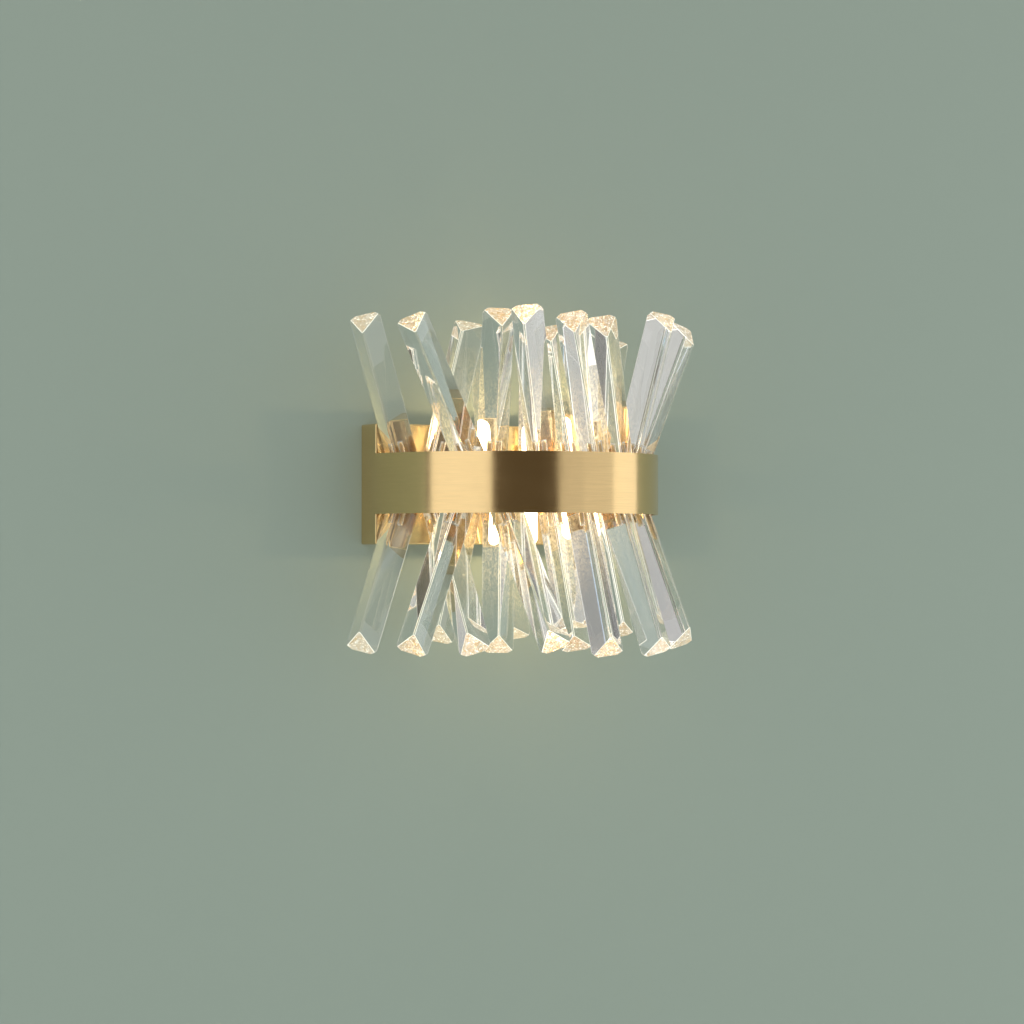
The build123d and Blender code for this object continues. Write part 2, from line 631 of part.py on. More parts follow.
def lamp(up, word):
    """Capsule lamp: a domed glass tube on a flat base with two wire loops, and
    a filament on two supports inside."""
    floor = HOLDER_TOP + 1.0
    dome = HOLDER_TOP + CAPSULE_LENGTH
    inner = CAPSULE_R - CAPSULE_WALL
    with BuildPart() as glass:
        with BuildSketch(Plane.YZ):
            with BuildLine():
                Line((LAMP_Y, up * (floor - 0.7)), (LAMP_Y - CAPSULE_R, up * (floor - 0.7)))
                Line((LAMP_Y - CAPSULE_R, up * (floor - 0.7)), (LAMP_Y - CAPSULE_R, up * (dome - CAPSULE_R)))
                RadiusArc((LAMP_Y - CAPSULE_R, up * (dome - CAPSULE_R)), (LAMP_Y, up * dome), up * CAPSULE_R)
                Line((LAMP_Y, up * dome), (LAMP_Y, up * (floor - 0.7)))
            make_face()
        revolve(axis=Axis((0, LAMP_Y, 0), (0, 0, 1)))
        with BuildSketch(Plane.XY.offset(up * PINCH_BASE)):
            with Locations((0, LAMP_Y)):
                Rectangle(PINCH[0], PINCH[1])
            fillet(vertices(), radius=1.2)
        extrude(amount=up * (floor - PINCH_BASE))
        with BuildSketch(Plane.YZ):
            with BuildLine():
                low = up * (floor + CAPSULE_WALL)
                high = up * (dome - CAPSULE_R)
                Line((LAMP_Y, low), (LAMP_Y - inner, low))
                Line((LAMP_Y - inner, low), (LAMP_Y - inner, high))
                RadiusArc((LAMP_Y - inner, high), (LAMP_Y, high + up * inner), up * inner)
                Line((LAMP_Y, high + up * inner), (LAMP_Y, low))
            make_face()
        revolve(axis=Axis((0, LAMP_Y, 0), (0, 0, 1)), mode=Mode.SUBTRACT)
    save(glass, f"{word}_bulb_glass")

    with BuildPart() as pins:
        with BuildSketch(Plane.XZ.offset(-LAMP_Y - PIN_WIRE / 2)):
            for x in (-PIN_PITCH / 2, PIN_PITCH / 2):
                with Locations((x, up * (PINCH_BASE - PIN_LOOP[1] / 2))):
                    Rectangle(PIN_LOOP[0], PIN_LOOP[1])
                with Locations((x, up * (PINCH_BASE - PIN_LOOP[1] / 2 + PIN_WIRE / 2))):
                    Rectangle(PIN_LOOP[0] - 2 * PIN_WIRE, PIN_LOOP[1] - PIN_WIRE, mode=Mode.SUBTRACT)
        extrude(amount=PIN_WIRE)
    save(pins, f"{word}_bulb_pins")

    low = floor + CAPSULE_WALL
    height = HOLDER_TOP + FILAMENT_RISE
    with BuildPart() as filament:
        with BuildSketch(Plane.YZ.offset(-FILAMENT_LENGTH / 2)):
            with Locations((LAMP_Y, up * height)):
                Circle(FILAMENT_R)
        extrude(amount=FILAMENT_LENGTH)
        with BuildSketch(Plane.XY.offset(up * low)):
            with Locations((-FILAMENT_LENGTH / 2 + 2 * SUPPORT_R, LAMP_Y), (FILAMENT_LENGTH / 2 - 2 * SUPPORT_R, LAMP_Y)):
                Circle(SUPPORT_R)
        extrude(amount=up * (height - low))
    save(filament, f"{word}_bulb_filament")


lamp(1, "upper")
lamp(-1, "lower")

# ---------------------------------------------------------------- terminal block
BLOCK_LEAD_Y = -12.0
BLOCK_RIGHT = BLOCK_X + BLOCK[0] / 2
BLOCK_SCREW_R = 1.6
with BuildPart() as terminal_block:
    with BuildSketch(Plane.XZ.offset(STRAP_WALL)):
        with Locations((BLOCK_X, 0)):
            Rectangle(BLOCK[0], BLOCK[2])
    extrude(amount=BLOCK[1])
    chamfer(faces().sort_by(Axis.Y)[0].edges(), length=1)
    with BuildSketch(Plane.YZ.offset(BLOCK_RIGHT)):
        for z in (-BLOCK_WAY, BLOCK_WAY):
            with Locations((BLOCK_LEAD_Y, z)):
                SlotOverall(LEAD_PITCH + 2 * (LEAD_R + HOLE_GAP), 2 * (LEAD_R + HOLE_GAP), rotation=90)
        with Locations((BLOCK_LEAD_Y, 0)):
            Circle(LEAD_R + HOLE_GAP)
    extrude(amount=-(LEAD_IN + SEAT_GAP), mode=Mode.SUBTRACT)
    with BuildSketch(Plane.YZ.offset(BLOCK_X - BLOCK[0] / 2)):
        with Locations(*[(BLOCK_LEAD_Y, z) for z in (-BLOCK_WAY, 0, BLOCK_WAY)]):
            Circle(2.0)
    extrude(amount=7.0, mode=Mode.SUBTRACT)
    with BuildSketch(Plane.XZ.offset(STRAP_WALL + BLOCK[1])):
        with Locations(*[(BLOCK_X + x, z) for x in (-5.5, 5.5) for z in (-BLOCK_WAY, 0, BLOCK_WAY)]):
            Circle(BLOCK_SCREW_R + HOLE_GAP)
    extrude(amount=-3.5, mode=Mode.SUBTRACT)
save(terminal_block, "terminal_block")

with BuildPart() as terminal_screws:
    with BuildSketch(Plane.XZ.offset(STRAP_WALL + BLOCK[1] - 3.5)):
        with Locations(*[(BLOCK_X + x, z) for x in (-5.5, 5.5) for z in (-BLOCK_WAY, 0, BLOCK_WAY)]):
            Circle(BLOCK_SCREW_R)
            Rectangle(2.2, 0.6, mode=Mode.SUBTRACT)
    extrude(amount=2.5)
save(terminal_screws, "terminal_screws")

# ---------------------------------------------------------------- leads
# Each lead runs from its holder through the tube to the terminal block.
TURN_STEP = 2.4  # the leads turn behind the tube this far before or after the block's middle
TURN_Y = {-1: BLOCK_LEAD_Y - TURN_STEP, 1: BLOCK_LEAD_Y + TURN_STEP}
HOLDER_RUN = 2.4  # straight run of a lead out of its holder
TUBE_RUN = 1.6  # and before the tube's front end
BLOCK_RUN = 14.0  # and in front of the terminal block


def lead_points(polarity, up):
    """Corners of a lead's route from the holder to the block."""
    way = -polarity * BLOCK_WAY
    return [
        (polarity * HOLDER_LEAD_X, HOLDER_REAR_Y - LEAD_IN, up * HOLDER_LEAD_Z),
        (polarity * HOLDER_LEAD_X, HOLDER_REAR_Y + HOLDER_RUN, up * HOLDER_LEAD_Z),
        (polarity * LEAD_X, TUBE_FRONT_Y - TUBE_RUN, up * LEAD_Z),
        (polarity * LEAD_X, TURN_Y[polarity], up * LEAD_Z),
        (BLOCK_RIGHT + BLOCK_RUN, BLOCK_LEAD_Y, way + up * LEAD_PITCH / 2),
        (BLOCK_RIGHT - LEAD_IN, BLOCK_LEAD_Y, way + up * LEAD_PITCH / 2),
    ]


def corner_radii(points):
    """Each corner's radius: 0.45 of the shorter run over the tangent of half the turn."""
    radii = []
    for before, corner, after in zip(points, points[1:], points[2:]):
        way_in = Vector(*corner) - Vector(*before)
        way_out = Vector(*after) - Vector(*corner)
        half_turn = math.radians(way_in.get_angle(way_out)) / 2
        radii.append(0.45 * min(way_in.length, way_out.length) / math.tan(half_turn))
    return radii


def lead(points, name):
    """Round lead along straight runs joined by tangent arcs."""
    radii = corner_radii(points)
    with BuildPart() as wire:
        with BuildLine() as route:
            FilletPolyline(*points, radius=radii)
        path = route.wires()[0]
        with BuildSketch(Plane(origin=path @ 0, z_dir=path % 0)):
            Circle(LEAD_R)
        sweep(path=path)
    expected = math.pi * LEAD_R**2 * path.length
    print(name, "radii", [round(r, 1) for r in radii], "length", round(path.length, 1),
          "volume over section times length", round(wire.part.volume / expected, 4))
    return wire.part


with BuildPart() as lamp_leads:
    for polarity in (-1, 1):
        for up in (1, -1):
            add(lead(lead_points(polarity, up), f"lamp lead {polarity} {up}"))
save(lamp_leads, "lamp_leads")

RING_R = 4.5
RING_WALL = 0.8
BARREL_R = 1.6
BARREL_LENGTH = 6.0
barrel_dir = Vector(-1, 0, 1).normalized()
ring_spot = Vector(EARTH_X, -STRAP_WALL, EARTH_Z)
barrel_start = ring_spot + barrel_dir * (RING_R - 0.5) + Vector(0, -BARREL_R, 0)
barrel_end = barrel_start + barrel_dir * BARREL_LENGTH
with BuildPart() as earth_terminal:
    with BuildSketch(Plane(origin=ring_spot, z_dir=(0, -1, 0))):
        Circle(RING_R)
    extrude(amount=RING_WALL)
    with BuildSketch(Plane(origin=barrel_start, z_dir=barrel_dir)):
        Circle(BARREL_R)
    extrude(amount=BARREL_LENGTH)
    with BuildSketch(Plane(origin=ring_spot, z_dir=(0, -1, 0))):
        Circle(SHANK_R + HOLE_GAP)
    extrude(amount=RING_WALL, mode=Mode.SUBTRACT)
    with BuildSketch(Plane(origin=barrel_end, z_dir=barrel_dir)):
        Circle(LEAD_R + HOLE_GAP / 2)
    extrude(amount=-(BARREL_LENGTH - 2), mode=Mode.SUBTRACT)
save(earth_terminal, "earth_terminal")

barrel_in = barrel_end - barrel_dir * LEAD_IN
barrel_out = barrel_end + barrel_dir * 3.2
with BuildPart() as earth_lead:
    points = [
        (BLOCK_RIGHT - LEAD_IN, BLOCK_LEAD_Y, 0),
        (BLOCK_RIGHT + 5.4, BLOCK_LEAD_Y, 0),
        (barrel_out.X, barrel_out.Y, barrel_out.Z),
        (barrel_in.X, barrel_in.Y, barrel_in.Z),
    ]
    add(lead(points, "earth lead"))
save(earth_lead, "earth_lead")

with BuildPart() as earth_screw:
    seat = Plane(origin=(EARTH_X, -STRAP_WALL - RING_WALL, EARTH_Z), z_dir=(0, -1, 0))
    add(pan_screw(seat, SHANK_R, STRAP_WALL + RING_WALL))
save(earth_screw, "earth_screw")
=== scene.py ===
"""Crystal wall sconce: a half-round gold band in front of a box backplate, with
clear triangular prisms standing up and hanging down behind it, and two warm
capsule lamps between them.

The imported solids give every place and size. This file gives the prisms their
ground edges and glittering ends, softens the folded metal, winds the lamps'
filaments, gives every piece its finish, and sets a plain studio round it.
"""

import json
import math

import bpy
import numpy as np
from bpy.props import FloatProperty, FloatVectorProperty, IntProperty, PointerProperty
from mathutils import Matrix, Vector

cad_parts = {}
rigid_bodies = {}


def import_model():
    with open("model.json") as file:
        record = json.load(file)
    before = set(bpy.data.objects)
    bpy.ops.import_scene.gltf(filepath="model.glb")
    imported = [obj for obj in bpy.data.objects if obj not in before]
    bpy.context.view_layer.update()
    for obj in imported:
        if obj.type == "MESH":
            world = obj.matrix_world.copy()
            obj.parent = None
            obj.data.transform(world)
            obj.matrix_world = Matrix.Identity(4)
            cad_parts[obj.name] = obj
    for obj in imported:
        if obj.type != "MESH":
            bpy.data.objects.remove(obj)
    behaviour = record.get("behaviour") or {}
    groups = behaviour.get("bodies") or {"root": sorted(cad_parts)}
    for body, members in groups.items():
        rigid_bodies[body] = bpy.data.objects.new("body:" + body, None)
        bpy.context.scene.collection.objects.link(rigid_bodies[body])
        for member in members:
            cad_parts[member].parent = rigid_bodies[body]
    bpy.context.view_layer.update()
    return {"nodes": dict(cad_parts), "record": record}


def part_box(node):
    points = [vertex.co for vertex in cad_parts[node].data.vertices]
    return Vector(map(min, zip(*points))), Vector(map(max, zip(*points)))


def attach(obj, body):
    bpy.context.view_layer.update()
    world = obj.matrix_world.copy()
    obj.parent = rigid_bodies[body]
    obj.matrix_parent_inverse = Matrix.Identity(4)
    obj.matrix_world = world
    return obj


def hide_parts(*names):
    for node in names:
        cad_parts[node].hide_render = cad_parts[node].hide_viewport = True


bl_info = {
    "name": "Crystal wall sconce",
    "version": (1, 0, 0),
    "blender": (4, 5, 0),
    "location": "3D View > Sidebar > Sconce",
    "description": "Dresses a wall light of gold-plated metal and crystal prisms",
    "category": "Object",
}

for leftover in list(bpy.data.objects):
    bpy.data.objects.remove(leftover)
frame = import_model()
NODES = frame["nodes"]
SLOT_COLOURS = {row["slot"]: row["base_color"][:3] for row in frame["record"]["materials"]}
MERGE = 1e-6
FLAT = math.radians(0.1)
# the coil of the upper lamp, which stands above the middle of its node's box; the
# lower lamp is its mirror image
COIL_RISE = 0.006
LAMP_PLACE = sum(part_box("upper_bulb_filament"), Vector()) / 2 + Vector((0, 0, COIL_RISE))
# middle of the band's half circle, on the front of the backplate
RING_CENTRE = Vector((0, -0.03, 0))


# ---------- settings
def colour_setting(name, description, default):
    return FloatVectorProperty(
        name=name, description=description, default=default, subtype="COLOR", size=3, min=0, max=1
    )


def length_setting(name, description, default):
    return FloatProperty(
        name=name, description=description, default=default, unit="LENGTH", min=0, precision=5
    )


def amount_setting(name, description, default, **more):
    return FloatProperty(name=name, description=description, default=default, min=0, **more)


def angle_setting(name, description, degrees):
    return FloatProperty(name=name, description=description, default=math.radians(degrees), unit="ROTATION")


class SconceCrystalSettings(bpy.types.PropertyGroup):
    """Sizes and colours of the prisms."""

    face_width: length_setting("Face width", "Width of a long face, edge to edge", 0.028)
    edge_line: length_setting("Edge line", "Width of the fine bevel along every edge", 0.0004)
    bore: length_setting("Bore radius", "Radius of the drilled hole in the inner end", 0.003)
    bore_depth: length_setting("Bore depth", "Depth of the drilled hole", 0.018)
    tint: colour_setting("Glass tint", "Colour of the clear glass", (0.985, 0.992, 0.985))
    edge_tint: colour_setting("Edge tint", "Colour of the ground flats", (1.0, 0.97, 0.9))
    line_tint: colour_setting("Line tint", "Colour of the fine edge lines", (1.0, 0.96, 0.87))
    # the end facets' cream and gold are painted light: the lamps' warm light reflected in the ends, darker
    # gold in the creases between flecks
    cream: colour_setting("End cream", "Light colour of the end facets", (1.0, 0.95, 0.84))
    gold: colour_setting("End gold", "Deep colour in the creases of the end facets", (0.76, 0.54, 0.29))
    glitter: length_setting("Glitter size", "Width of one sparkling fleck", 0.0009)
    # painted glow of the end facets: emission that stands in for the lamps' light
    painted_end_glow: amount_setting("End glow", "Lamp light that leaves a prism through its end", 0.95)
    # painted glow of the ground edges and the edge lines: emission that stands in for the lamps' light
    painted_edge_glow: amount_setting("Edge glow", "Lamp light that leaves a prism through its ground edges", 0.06)
    painted_line_glow: amount_setting("Line glow", "Lamp light that leaves a prism through its fine edge lines", 0.9)
    # painted sparkle: emission on the glass's flaws that stands in for the lamps' light
    painted_sparkle: amount_setting("Sparkle", "Lamp light caught by the fine flaws of the glass", 0.45)
    shank: length_setting("Stud radius", "Radius of a stud's thread", 0.002)
    insert: length_setting("Insert radius", "Radius of the knurled end of a stud, glued in the prism", 0.0028)
    insert_length: length_setting("Insert length", "Length of the knurled end", 0.016)
    stud_rise: length_setting("Stud rise", "Height of the prism's end above the carrier's underside", 0.01)
    stud_foot: length_setting("Stud foot", "Length of thread through the washer and the nut", 0.0048)


class SconceMetalSettings(bpy.types.PropertyGroup):
    """Colours and finish of the plated metal."""

    satin: colour_setting("Satin gold", "Band and backplate", (0.84, 0.61, 0.3))
    polished: colour_setting("Polished gold", "Carriers, bushes and studs", (0.86, 0.6, 0.25))
    steel: colour_setting("Zinc steel", "Hidden fixings", SLOT_COLOURS["zinc_steel"])
    brass: colour_setting("Plated brass", "Arm and bracket", (0.78, 0.56, 0.26))
    edge_radius: length_setting("Edge radius", "Softening of the sheet metal's edges", 0.00025)
    line_pitch: length_setting("Brush line pitch", "Distance between the brush lines", 0.0006)


class SconceLampSettings(bpy.types.PropertyGroup):
    """The two capsule lamps."""

    coil_radius: length_setting("Coil radius", "Outside radius of the filament", 0.0007)
    wire: length_setting("Wire radius", "Radius of the filament's wire", 0.00016)
    coil_length: length_setting("Coil length", "Length of the filament", 0.007)
    turns: IntProperty(name="Turns", description="Turns of the filament", default=11, min=1)
    light: colour_setting("Light", "Colour of the lamps' light", (1.0, 0.72, 0.4))
    power: amount_setting("Power", "Light of one lamp", 0.35, unit="POWER")
    glow: amount_setting("Filament glow", "Brightness of the filament", 40.0)


class SconceStageSettings(bpy.types.PropertyGroup):
    """Wall, floor, studio lights and camera."""

    wall: colour_setting("Wall", "Colour of the wall behind the light", (0.3, 0.37, 0.32))
    floor: colour_setting("Floor", "Colour of the floor", (0.9, 0.9, 0.88))
    floor_drop: length_setting("Floor drop", "Height of the light's middle above the floor", 1.25)
    distance: length_setting("Camera distance", "From the camera to the ring's centre", 3.0)
    azimuth: angle_setting("Camera azimuth", "To the right of the light's front", -25)
    pitch: angle_setting("Camera pitch", "How far the camera looks up", 0.947)
    camera_drop: length_setting("Camera drop", "Camera below the light's middle", 0.072)
    lens: FloatProperty(name="Lens", description="Focal length", default=125.5, unit="CAMERA")


# ---------- node helpers
def feed(tree, socket, value):
    """Link a socket or set its plain value."""
    if isinstance(value, bpy.types.NodeSocket):
        tree.links.new(value, socket)
    else:
        socket.default_value = value


def put(tree, kind, values=None, **settings):
    """Add a node, set its own settings, and feed its inputs by name or number."""
    made = tree.nodes.new(kind)
    for name, value in settings.items():
        setattr(made, name, value)
    for name, value in (values or {}).items():
        feed(tree, made.inputs[name], value)
    return made


def sums(tree, operation, *values, clamp=False):
    node = put(tree, "ShaderNodeMath", dict(enumerate(values)), operation=operation, use_clamp=clamp)
    return node.outputs[0]


def blend(tree, first, second, share):
    """The first value by its share and the second by the rest."""
    parts = (sums(tree, "MULTIPLY", first, share), sums(tree, "MULTIPLY", second, 1 - share))
    return sums(tree, "ADD", *parts)


def vectors(tree, operation, *values):
    return put(tree, "ShaderNodeVectorMath", dict(enumerate(values)), operation=operation).outputs[0]


def lengthen(tree, vector, share):
    return put(tree, "ShaderNodeVectorMath", {0: vector, 3: share}, operation="SCALE").outputs[0]


def split(tree, vector):
    return put(tree, "ShaderNodeSeparateXYZ", {0: vector}).outputs


def join(tree, *parts):
    return put(tree, "ShaderNodeCombineXYZ", dict(enumerate(parts))).outputs[0]


def spread(tree, value, low, high, to_low, to_high, kind="LINEAR"):
    """Map one range of a value onto another, clamped."""
    values = {"Value": value, "From Min": low, "From Max": high, "To Min": to_low, "To Max": to_high}
    return put(tree, "ShaderNodeMapRange", values, interpolation_type=kind).outputs[0]


def tones(tree, mask, first, second):
    """Colour between two colours, or colour sockets, by a mask."""
    pair = [side if isinstance(side, bpy.types.NodeSocket) else (*side, 1) for side in (first, second)]
    return put(tree, "ShaderNodeMix", {0: mask, 6: pair[0], 7: pair[1]}, data_type="RGBA").outputs[2]


def noise(tree, vector, scale, detail=3.0, roughness=0.55):
    values = {"Vector": vector, "Scale": scale, "Detail": detail, "Roughness": roughness}
    return put(tree, "ShaderNodeTexNoise", values).outputs["Fac"]


def effect(name, inputs, outputs):
    """Start a shader node group: its tree, its inputs and its outputs by name."""
    tree = bpy.data.node_groups.new(name, "ShaderNodeTree")
    for label, kind, value in inputs:
        socket = tree.interface.new_socket(name=label, in_out="INPUT", socket_type=f"NodeSocket{kind}")
        if value is not None:
            socket.default_value = value
    for label, kind in outputs:
        tree.interface.new_socket(name=label, in_out="OUTPUT", socket_type=f"NodeSocket{kind}")
    return tree, tree.nodes.new("NodeGroupInput").outputs, tree.nodes.new("NodeGroupOutput").inputs


def place_effect(tree, group, **values):
    made = tree.nodes.new("ShaderNodeGroup")
    made.node_tree = group
    for name, value in values.items():
        feed(tree, made.inputs[name], value)
    return made.outputs


# ---------- shared effects
def build_brushing():
    """Fine lines that run level round upright faces, and along X on level ones."""
    tree, given, made = effect(
        "sconce brushing",
        [("Vector", "Vector", None), ("Along", "Float", 25.0), ("Across", "Float", 1600.0)],
        [("Lines", "Float"), ("Height", "Float")],
    )
    upright = join(tree, given["Along"], given["Along"], given["Across"])
    level = join(tree, given["Along"], given["Across"], given["Along"])
    rise = split(tree, put(tree, "ShaderNodeTexCoord").outputs["Normal"])[2]
    is_level = sums(tree, "GREATER_THAN", sums(tree, "ABSOLUTE", rise), 0.7)
    scale = put(tree, "ShaderNodeMix", {0: is_level, 4: upright, 5: level}, data_type="VECTOR").outputs[1]
    stretched = vectors(tree, "MULTIPLY", given["Vector"], scale)
    coarse = noise(tree, stretched, 1.0, 2.0, 0.5)
    fine = noise(tree, vectors(tree, "MULTIPLY", stretched, (1.7, 2.9, 2.9)), 1.0, 3.0, 0.7)
    lines = blend(tree, coarse, fine, 0.45)
    feed(tree, made["Lines"], spread(tree, lines, 0.3, 0.7, 0.0, 1.0))
    feed(tree, made["Height"], lines)
    return tree


def build_marks():
    """Faint cloudy smears that handling and wiping leave on a polished surface."""
    tree, given, made = effect(
        "sconce handling marks",
        [("Vector", "Vector", None), ("Size", "Float", 22.0)],
        [("Marks", "Float")],
    )
    cloud = noise(tree, given["Vector"], given["Size"], 3.0, 0.6)
    smear = noise(tree, vectors(tree, "MULTIPLY", given["Vector"], (3.0, 3.0, 1.0)), given["Size"], 5.0, 0.7)
    patches = spread(tree, cloud, 0.42, 0.66, 0.0, 1.0)
    strokes = spread(tree, smear, 0.35, 0.7, 0.0, 1.0)
    feed(tree, made["Marks"], sums(tree, "MULTIPLY", patches, strokes))
    return tree


def build_grain():
    """Fine even grain with small pits, as on plating, ceramic and moulded plastic."""
    tree, given, made = effect(
        "sconce fine grain",
        [("Vector", "Vector", None), ("Scale", "Float", 900.0)],
        [("Grain", "Float"), ("Pits", "Float")],
    )
    feed(tree, made["Grain"], noise(tree, given["Vector"], given["Scale"], 4.0, 0.6))
    pits = put(tree, "ShaderNodeTexVoronoi", {"Vector": given["Vector"], "Scale": given["Scale"]})
    feed(tree, made["Pits"], spread(tree, pits.outputs["Distance"], 0.0, 0.35, 1.0, 0.0))
    return tree


GLITTER_WANDER = 0.0022  # how far the flecks' outlines stray, in metres


def build_glitter():
    """Small flecks that each face their own way, with creases between them."""
    tree, given, made = effect(
        "sconce crystal glitter",
        [("Vector", "Vector", None), ("Scale", "Float", 900.0), ("Tilt", "Float", 0.5)],
        [("Flecks", "Float"), ("Creases", "Float"), ("Normal", "Vector")],
    )

    def share_of_scale(share):
        return sums(tree, "MULTIPLY", given["Scale"], share)

    wander = put(tree, "ShaderNodeTexNoise", {"Vector": given["Vector"], "Scale": share_of_scale(0.4)})
    place = vectors(tree, "ADD", given["Vector"], lengthen(tree, wander.outputs["Color"], GLITTER_WANDER))
    wide = {"Vector": place, "Scale": share_of_scale(0.3)}
    small = put(tree, "ShaderNodeTexVoronoi", {"Vector": place, "Scale": given["Scale"]})
    broad = put(tree, "ShaderNodeTexVoronoi", wide)
    edges = put(tree, "ShaderNodeTexVoronoi", wide, feature="DISTANCE_TO_EDGE")
    turned = vectors(tree, "ADD", small.outputs["Color"], broad.outputs["Color"])
    turned = lengthen(tree, vectors(tree, "SUBTRACT", turned, (1.0, 1.0, 1.0)), given["Tilt"])
    normal = put(tree, "ShaderNodeNewGeometry").outputs["Normal"]
    feed(tree, made["Normal"], vectors(tree, "NORMALIZE", vectors(tree, "ADD", normal, turned)))
    parts = put(tree, "ShaderNodeSeparateColor", {0: small.outputs["Color"]}).outputs
    feed(tree, made["Flecks"], parts[0])
    patchy = spread(tree, noise(tree, given["Vector"], share_of_scale(0.25)), 0.4, 0.62, 0.0, 1.0)
    creases = spread(tree, edges.outputs["Distance"], 0.0, 0.16, 1.0, 0.0, "SMOOTHSTEP")
    feed(tree, made["Creases"], sums(tree, "MULTIPLY", creases, patchy))
    return tree


LAMP_HEART = 0.006  # radius round a coil in which its light is full


def build_nearness():
    """1 beside either lamp, falling to 0 at the given reach from it."""
    tree, given, made = effect(
        "sconce lamp nearness",
        [("Vector", "Vector", None), ("Reach", "Float", 0.1)],
        [("Near", "Float")],
    )
    x, y, z = split(tree, given["Vector"])
    height = sums(tree, "SUBTRACT", sums(tree, "ABSOLUTE", z), LAMP_PLACE.z)
    out = sums(tree, "SUBTRACT", y, LAMP_PLACE.y)
    away = join(tree, x, out, height)
    distance = put(tree, "ShaderNodeVectorMath", {0: away}, operation="LENGTH").outputs["Value"]
    feed(tree, made["Near"], spread(tree, distance, LAMP_HEART, given["Reach"], 1.0, 0.0, "SMOOTHSTEP"))
    return tree


EFFECTS = {}


def build_effects():
    for name, build in (
        ("brushing", build_brushing),
        ("marks", build_marks),
        ("grain", build_grain),
        ("glitter", build_glitter),
        ("nearness", build_nearness),
    ):
        EFFECTS[name] = build()


# ---------- finishes
def new_finish(name):
    """An empty material: its tree, its shader, its output and Object coordinates."""
    finish = bpy.data.materials.new(name)
    finish.use_nodes = True
    tree = finish.node_tree
    tree.nodes.clear()
    output = tree.nodes.new("ShaderNodeOutputMaterial")
    shader = tree.nodes.new("ShaderNodeBsdfPrincipled")
    tree.links.new(shader.outputs[0], output.inputs["Surface"])
    place = put(tree, "ShaderNodeTexCoord").outputs["Object"]
    return finish, tree, shader, output, place


def bump(tree, shader, height, depth):
    """Feed the shader's normal with a height in metres times depth."""
    made = put(tree, "ShaderNodeBump", {"Strength": 1.0, "Distance": depth, "Height": height})
    feed(tree, shader.inputs["Normal"], made.outputs[0])


def scaled(colour, share):
    return tuple(min(1.0, part * share) for part in colour)


def metal_finish(name, colour, smooth, rough, pitch=0.0006, lines=1.0, depth=0.000004, grain=1400.0):
    """Plated metal: brushed lines, fine grain and handling marks."""
    finish, tree, shader, _, place = new_finish(name)
    brushed = place_effect(tree, EFFECTS["brushing"], Vector=place, Across=1 / pitch)
    grained = place_effect(tree, EFFECTS["grain"], Vector=place, Scale=grain)
    marked = place_effect(tree, EFFECTS["marks"], Vector=place)
    mix = blend(tree, brushed["Lines"], grained["Grain"], lines)
    plain = tones(tree, mix, scaled(colour, 0.9), scaled(colour, 1.05))
    dulled = sums(tree, "MULTIPLY", marked["Marks"], 0.35)
    feed(tree, shader.inputs["Base Color"], tones(tree, dulled, plain, scaled(colour, 0.82)))
    base = spread(tree, mix, 0.0, 1.0, smooth, rough)
    smeared = sums(tree, "MULTIPLY", marked["Marks"], 0.07)
    feed(tree, shader.inputs["Roughness"], sums(tree, "ADD", base, smeared))
    shader.inputs["Metallic"].default_value = 1.0
    bump(tree, shader, blend(tree, brushed["Height"], grained["Grain"], lines), depth)
    return finish


def moulded_finish(name, colour, smooth, rough, scale=900.0, depth=0.00002, pits=0.3):
    """Ceramic, plastic, rubber or sleeving with a fine grain and small pits."""
    finish, tree, shader, _, place = new_finish(name)
    grained = place_effect(tree, EFFECTS["grain"], Vector=place, Scale=scale)
    marked = place_effect(tree, EFFECTS["marks"], Vector=place, Size=60.0)
    mottled = tones(tree, grained["Grain"], scaled(colour, 0.9), scaled(colour, 1.04))
    dulled = sums(tree, "MULTIPLY", marked["Marks"], 0.4)
    feed(tree, shader.inputs["Base Color"], tones(tree, dulled, mottled, scaled(colour, 0.75)))
    feed(tree, shader.inputs["Roughness"], spread(tree, grained["Grain"], 0.3, 0.7, smooth, rough))
    height = sums(tree, "SUBTRACT", grained["Grain"], sums(tree, "MULTIPLY", grained["Pits"], pits))
    bump(tree, shader, height, depth)
    return finish


def let_lamps_through(tree, shader, output, tint):
    """Glass that casts no shadow from a lamp, because its own light isn't traced."""
    clear = put(tree, "ShaderNodeBsdfTransparent", {"Color": (*tint, 1)})
    shadow = put(tree, "ShaderNodeLightPath").outputs["Is Shadow Ray"]
    mix = put(tree, "ShaderNodeMixShader", {0: shadow, 1: shader.outputs[0], 2: clear.outputs[0]})
    feed(tree, output.inputs["Surface"], mix.outputs[0])


CRYSTAL_IOR = 1.54
PAINTED_SPARKLE_REACH = 0.105  # how far from a lamp the painted sparkle in the glass reaches
PAINTED_SPARKLE_COLOUR = (1.0, 0.74, 0.38)


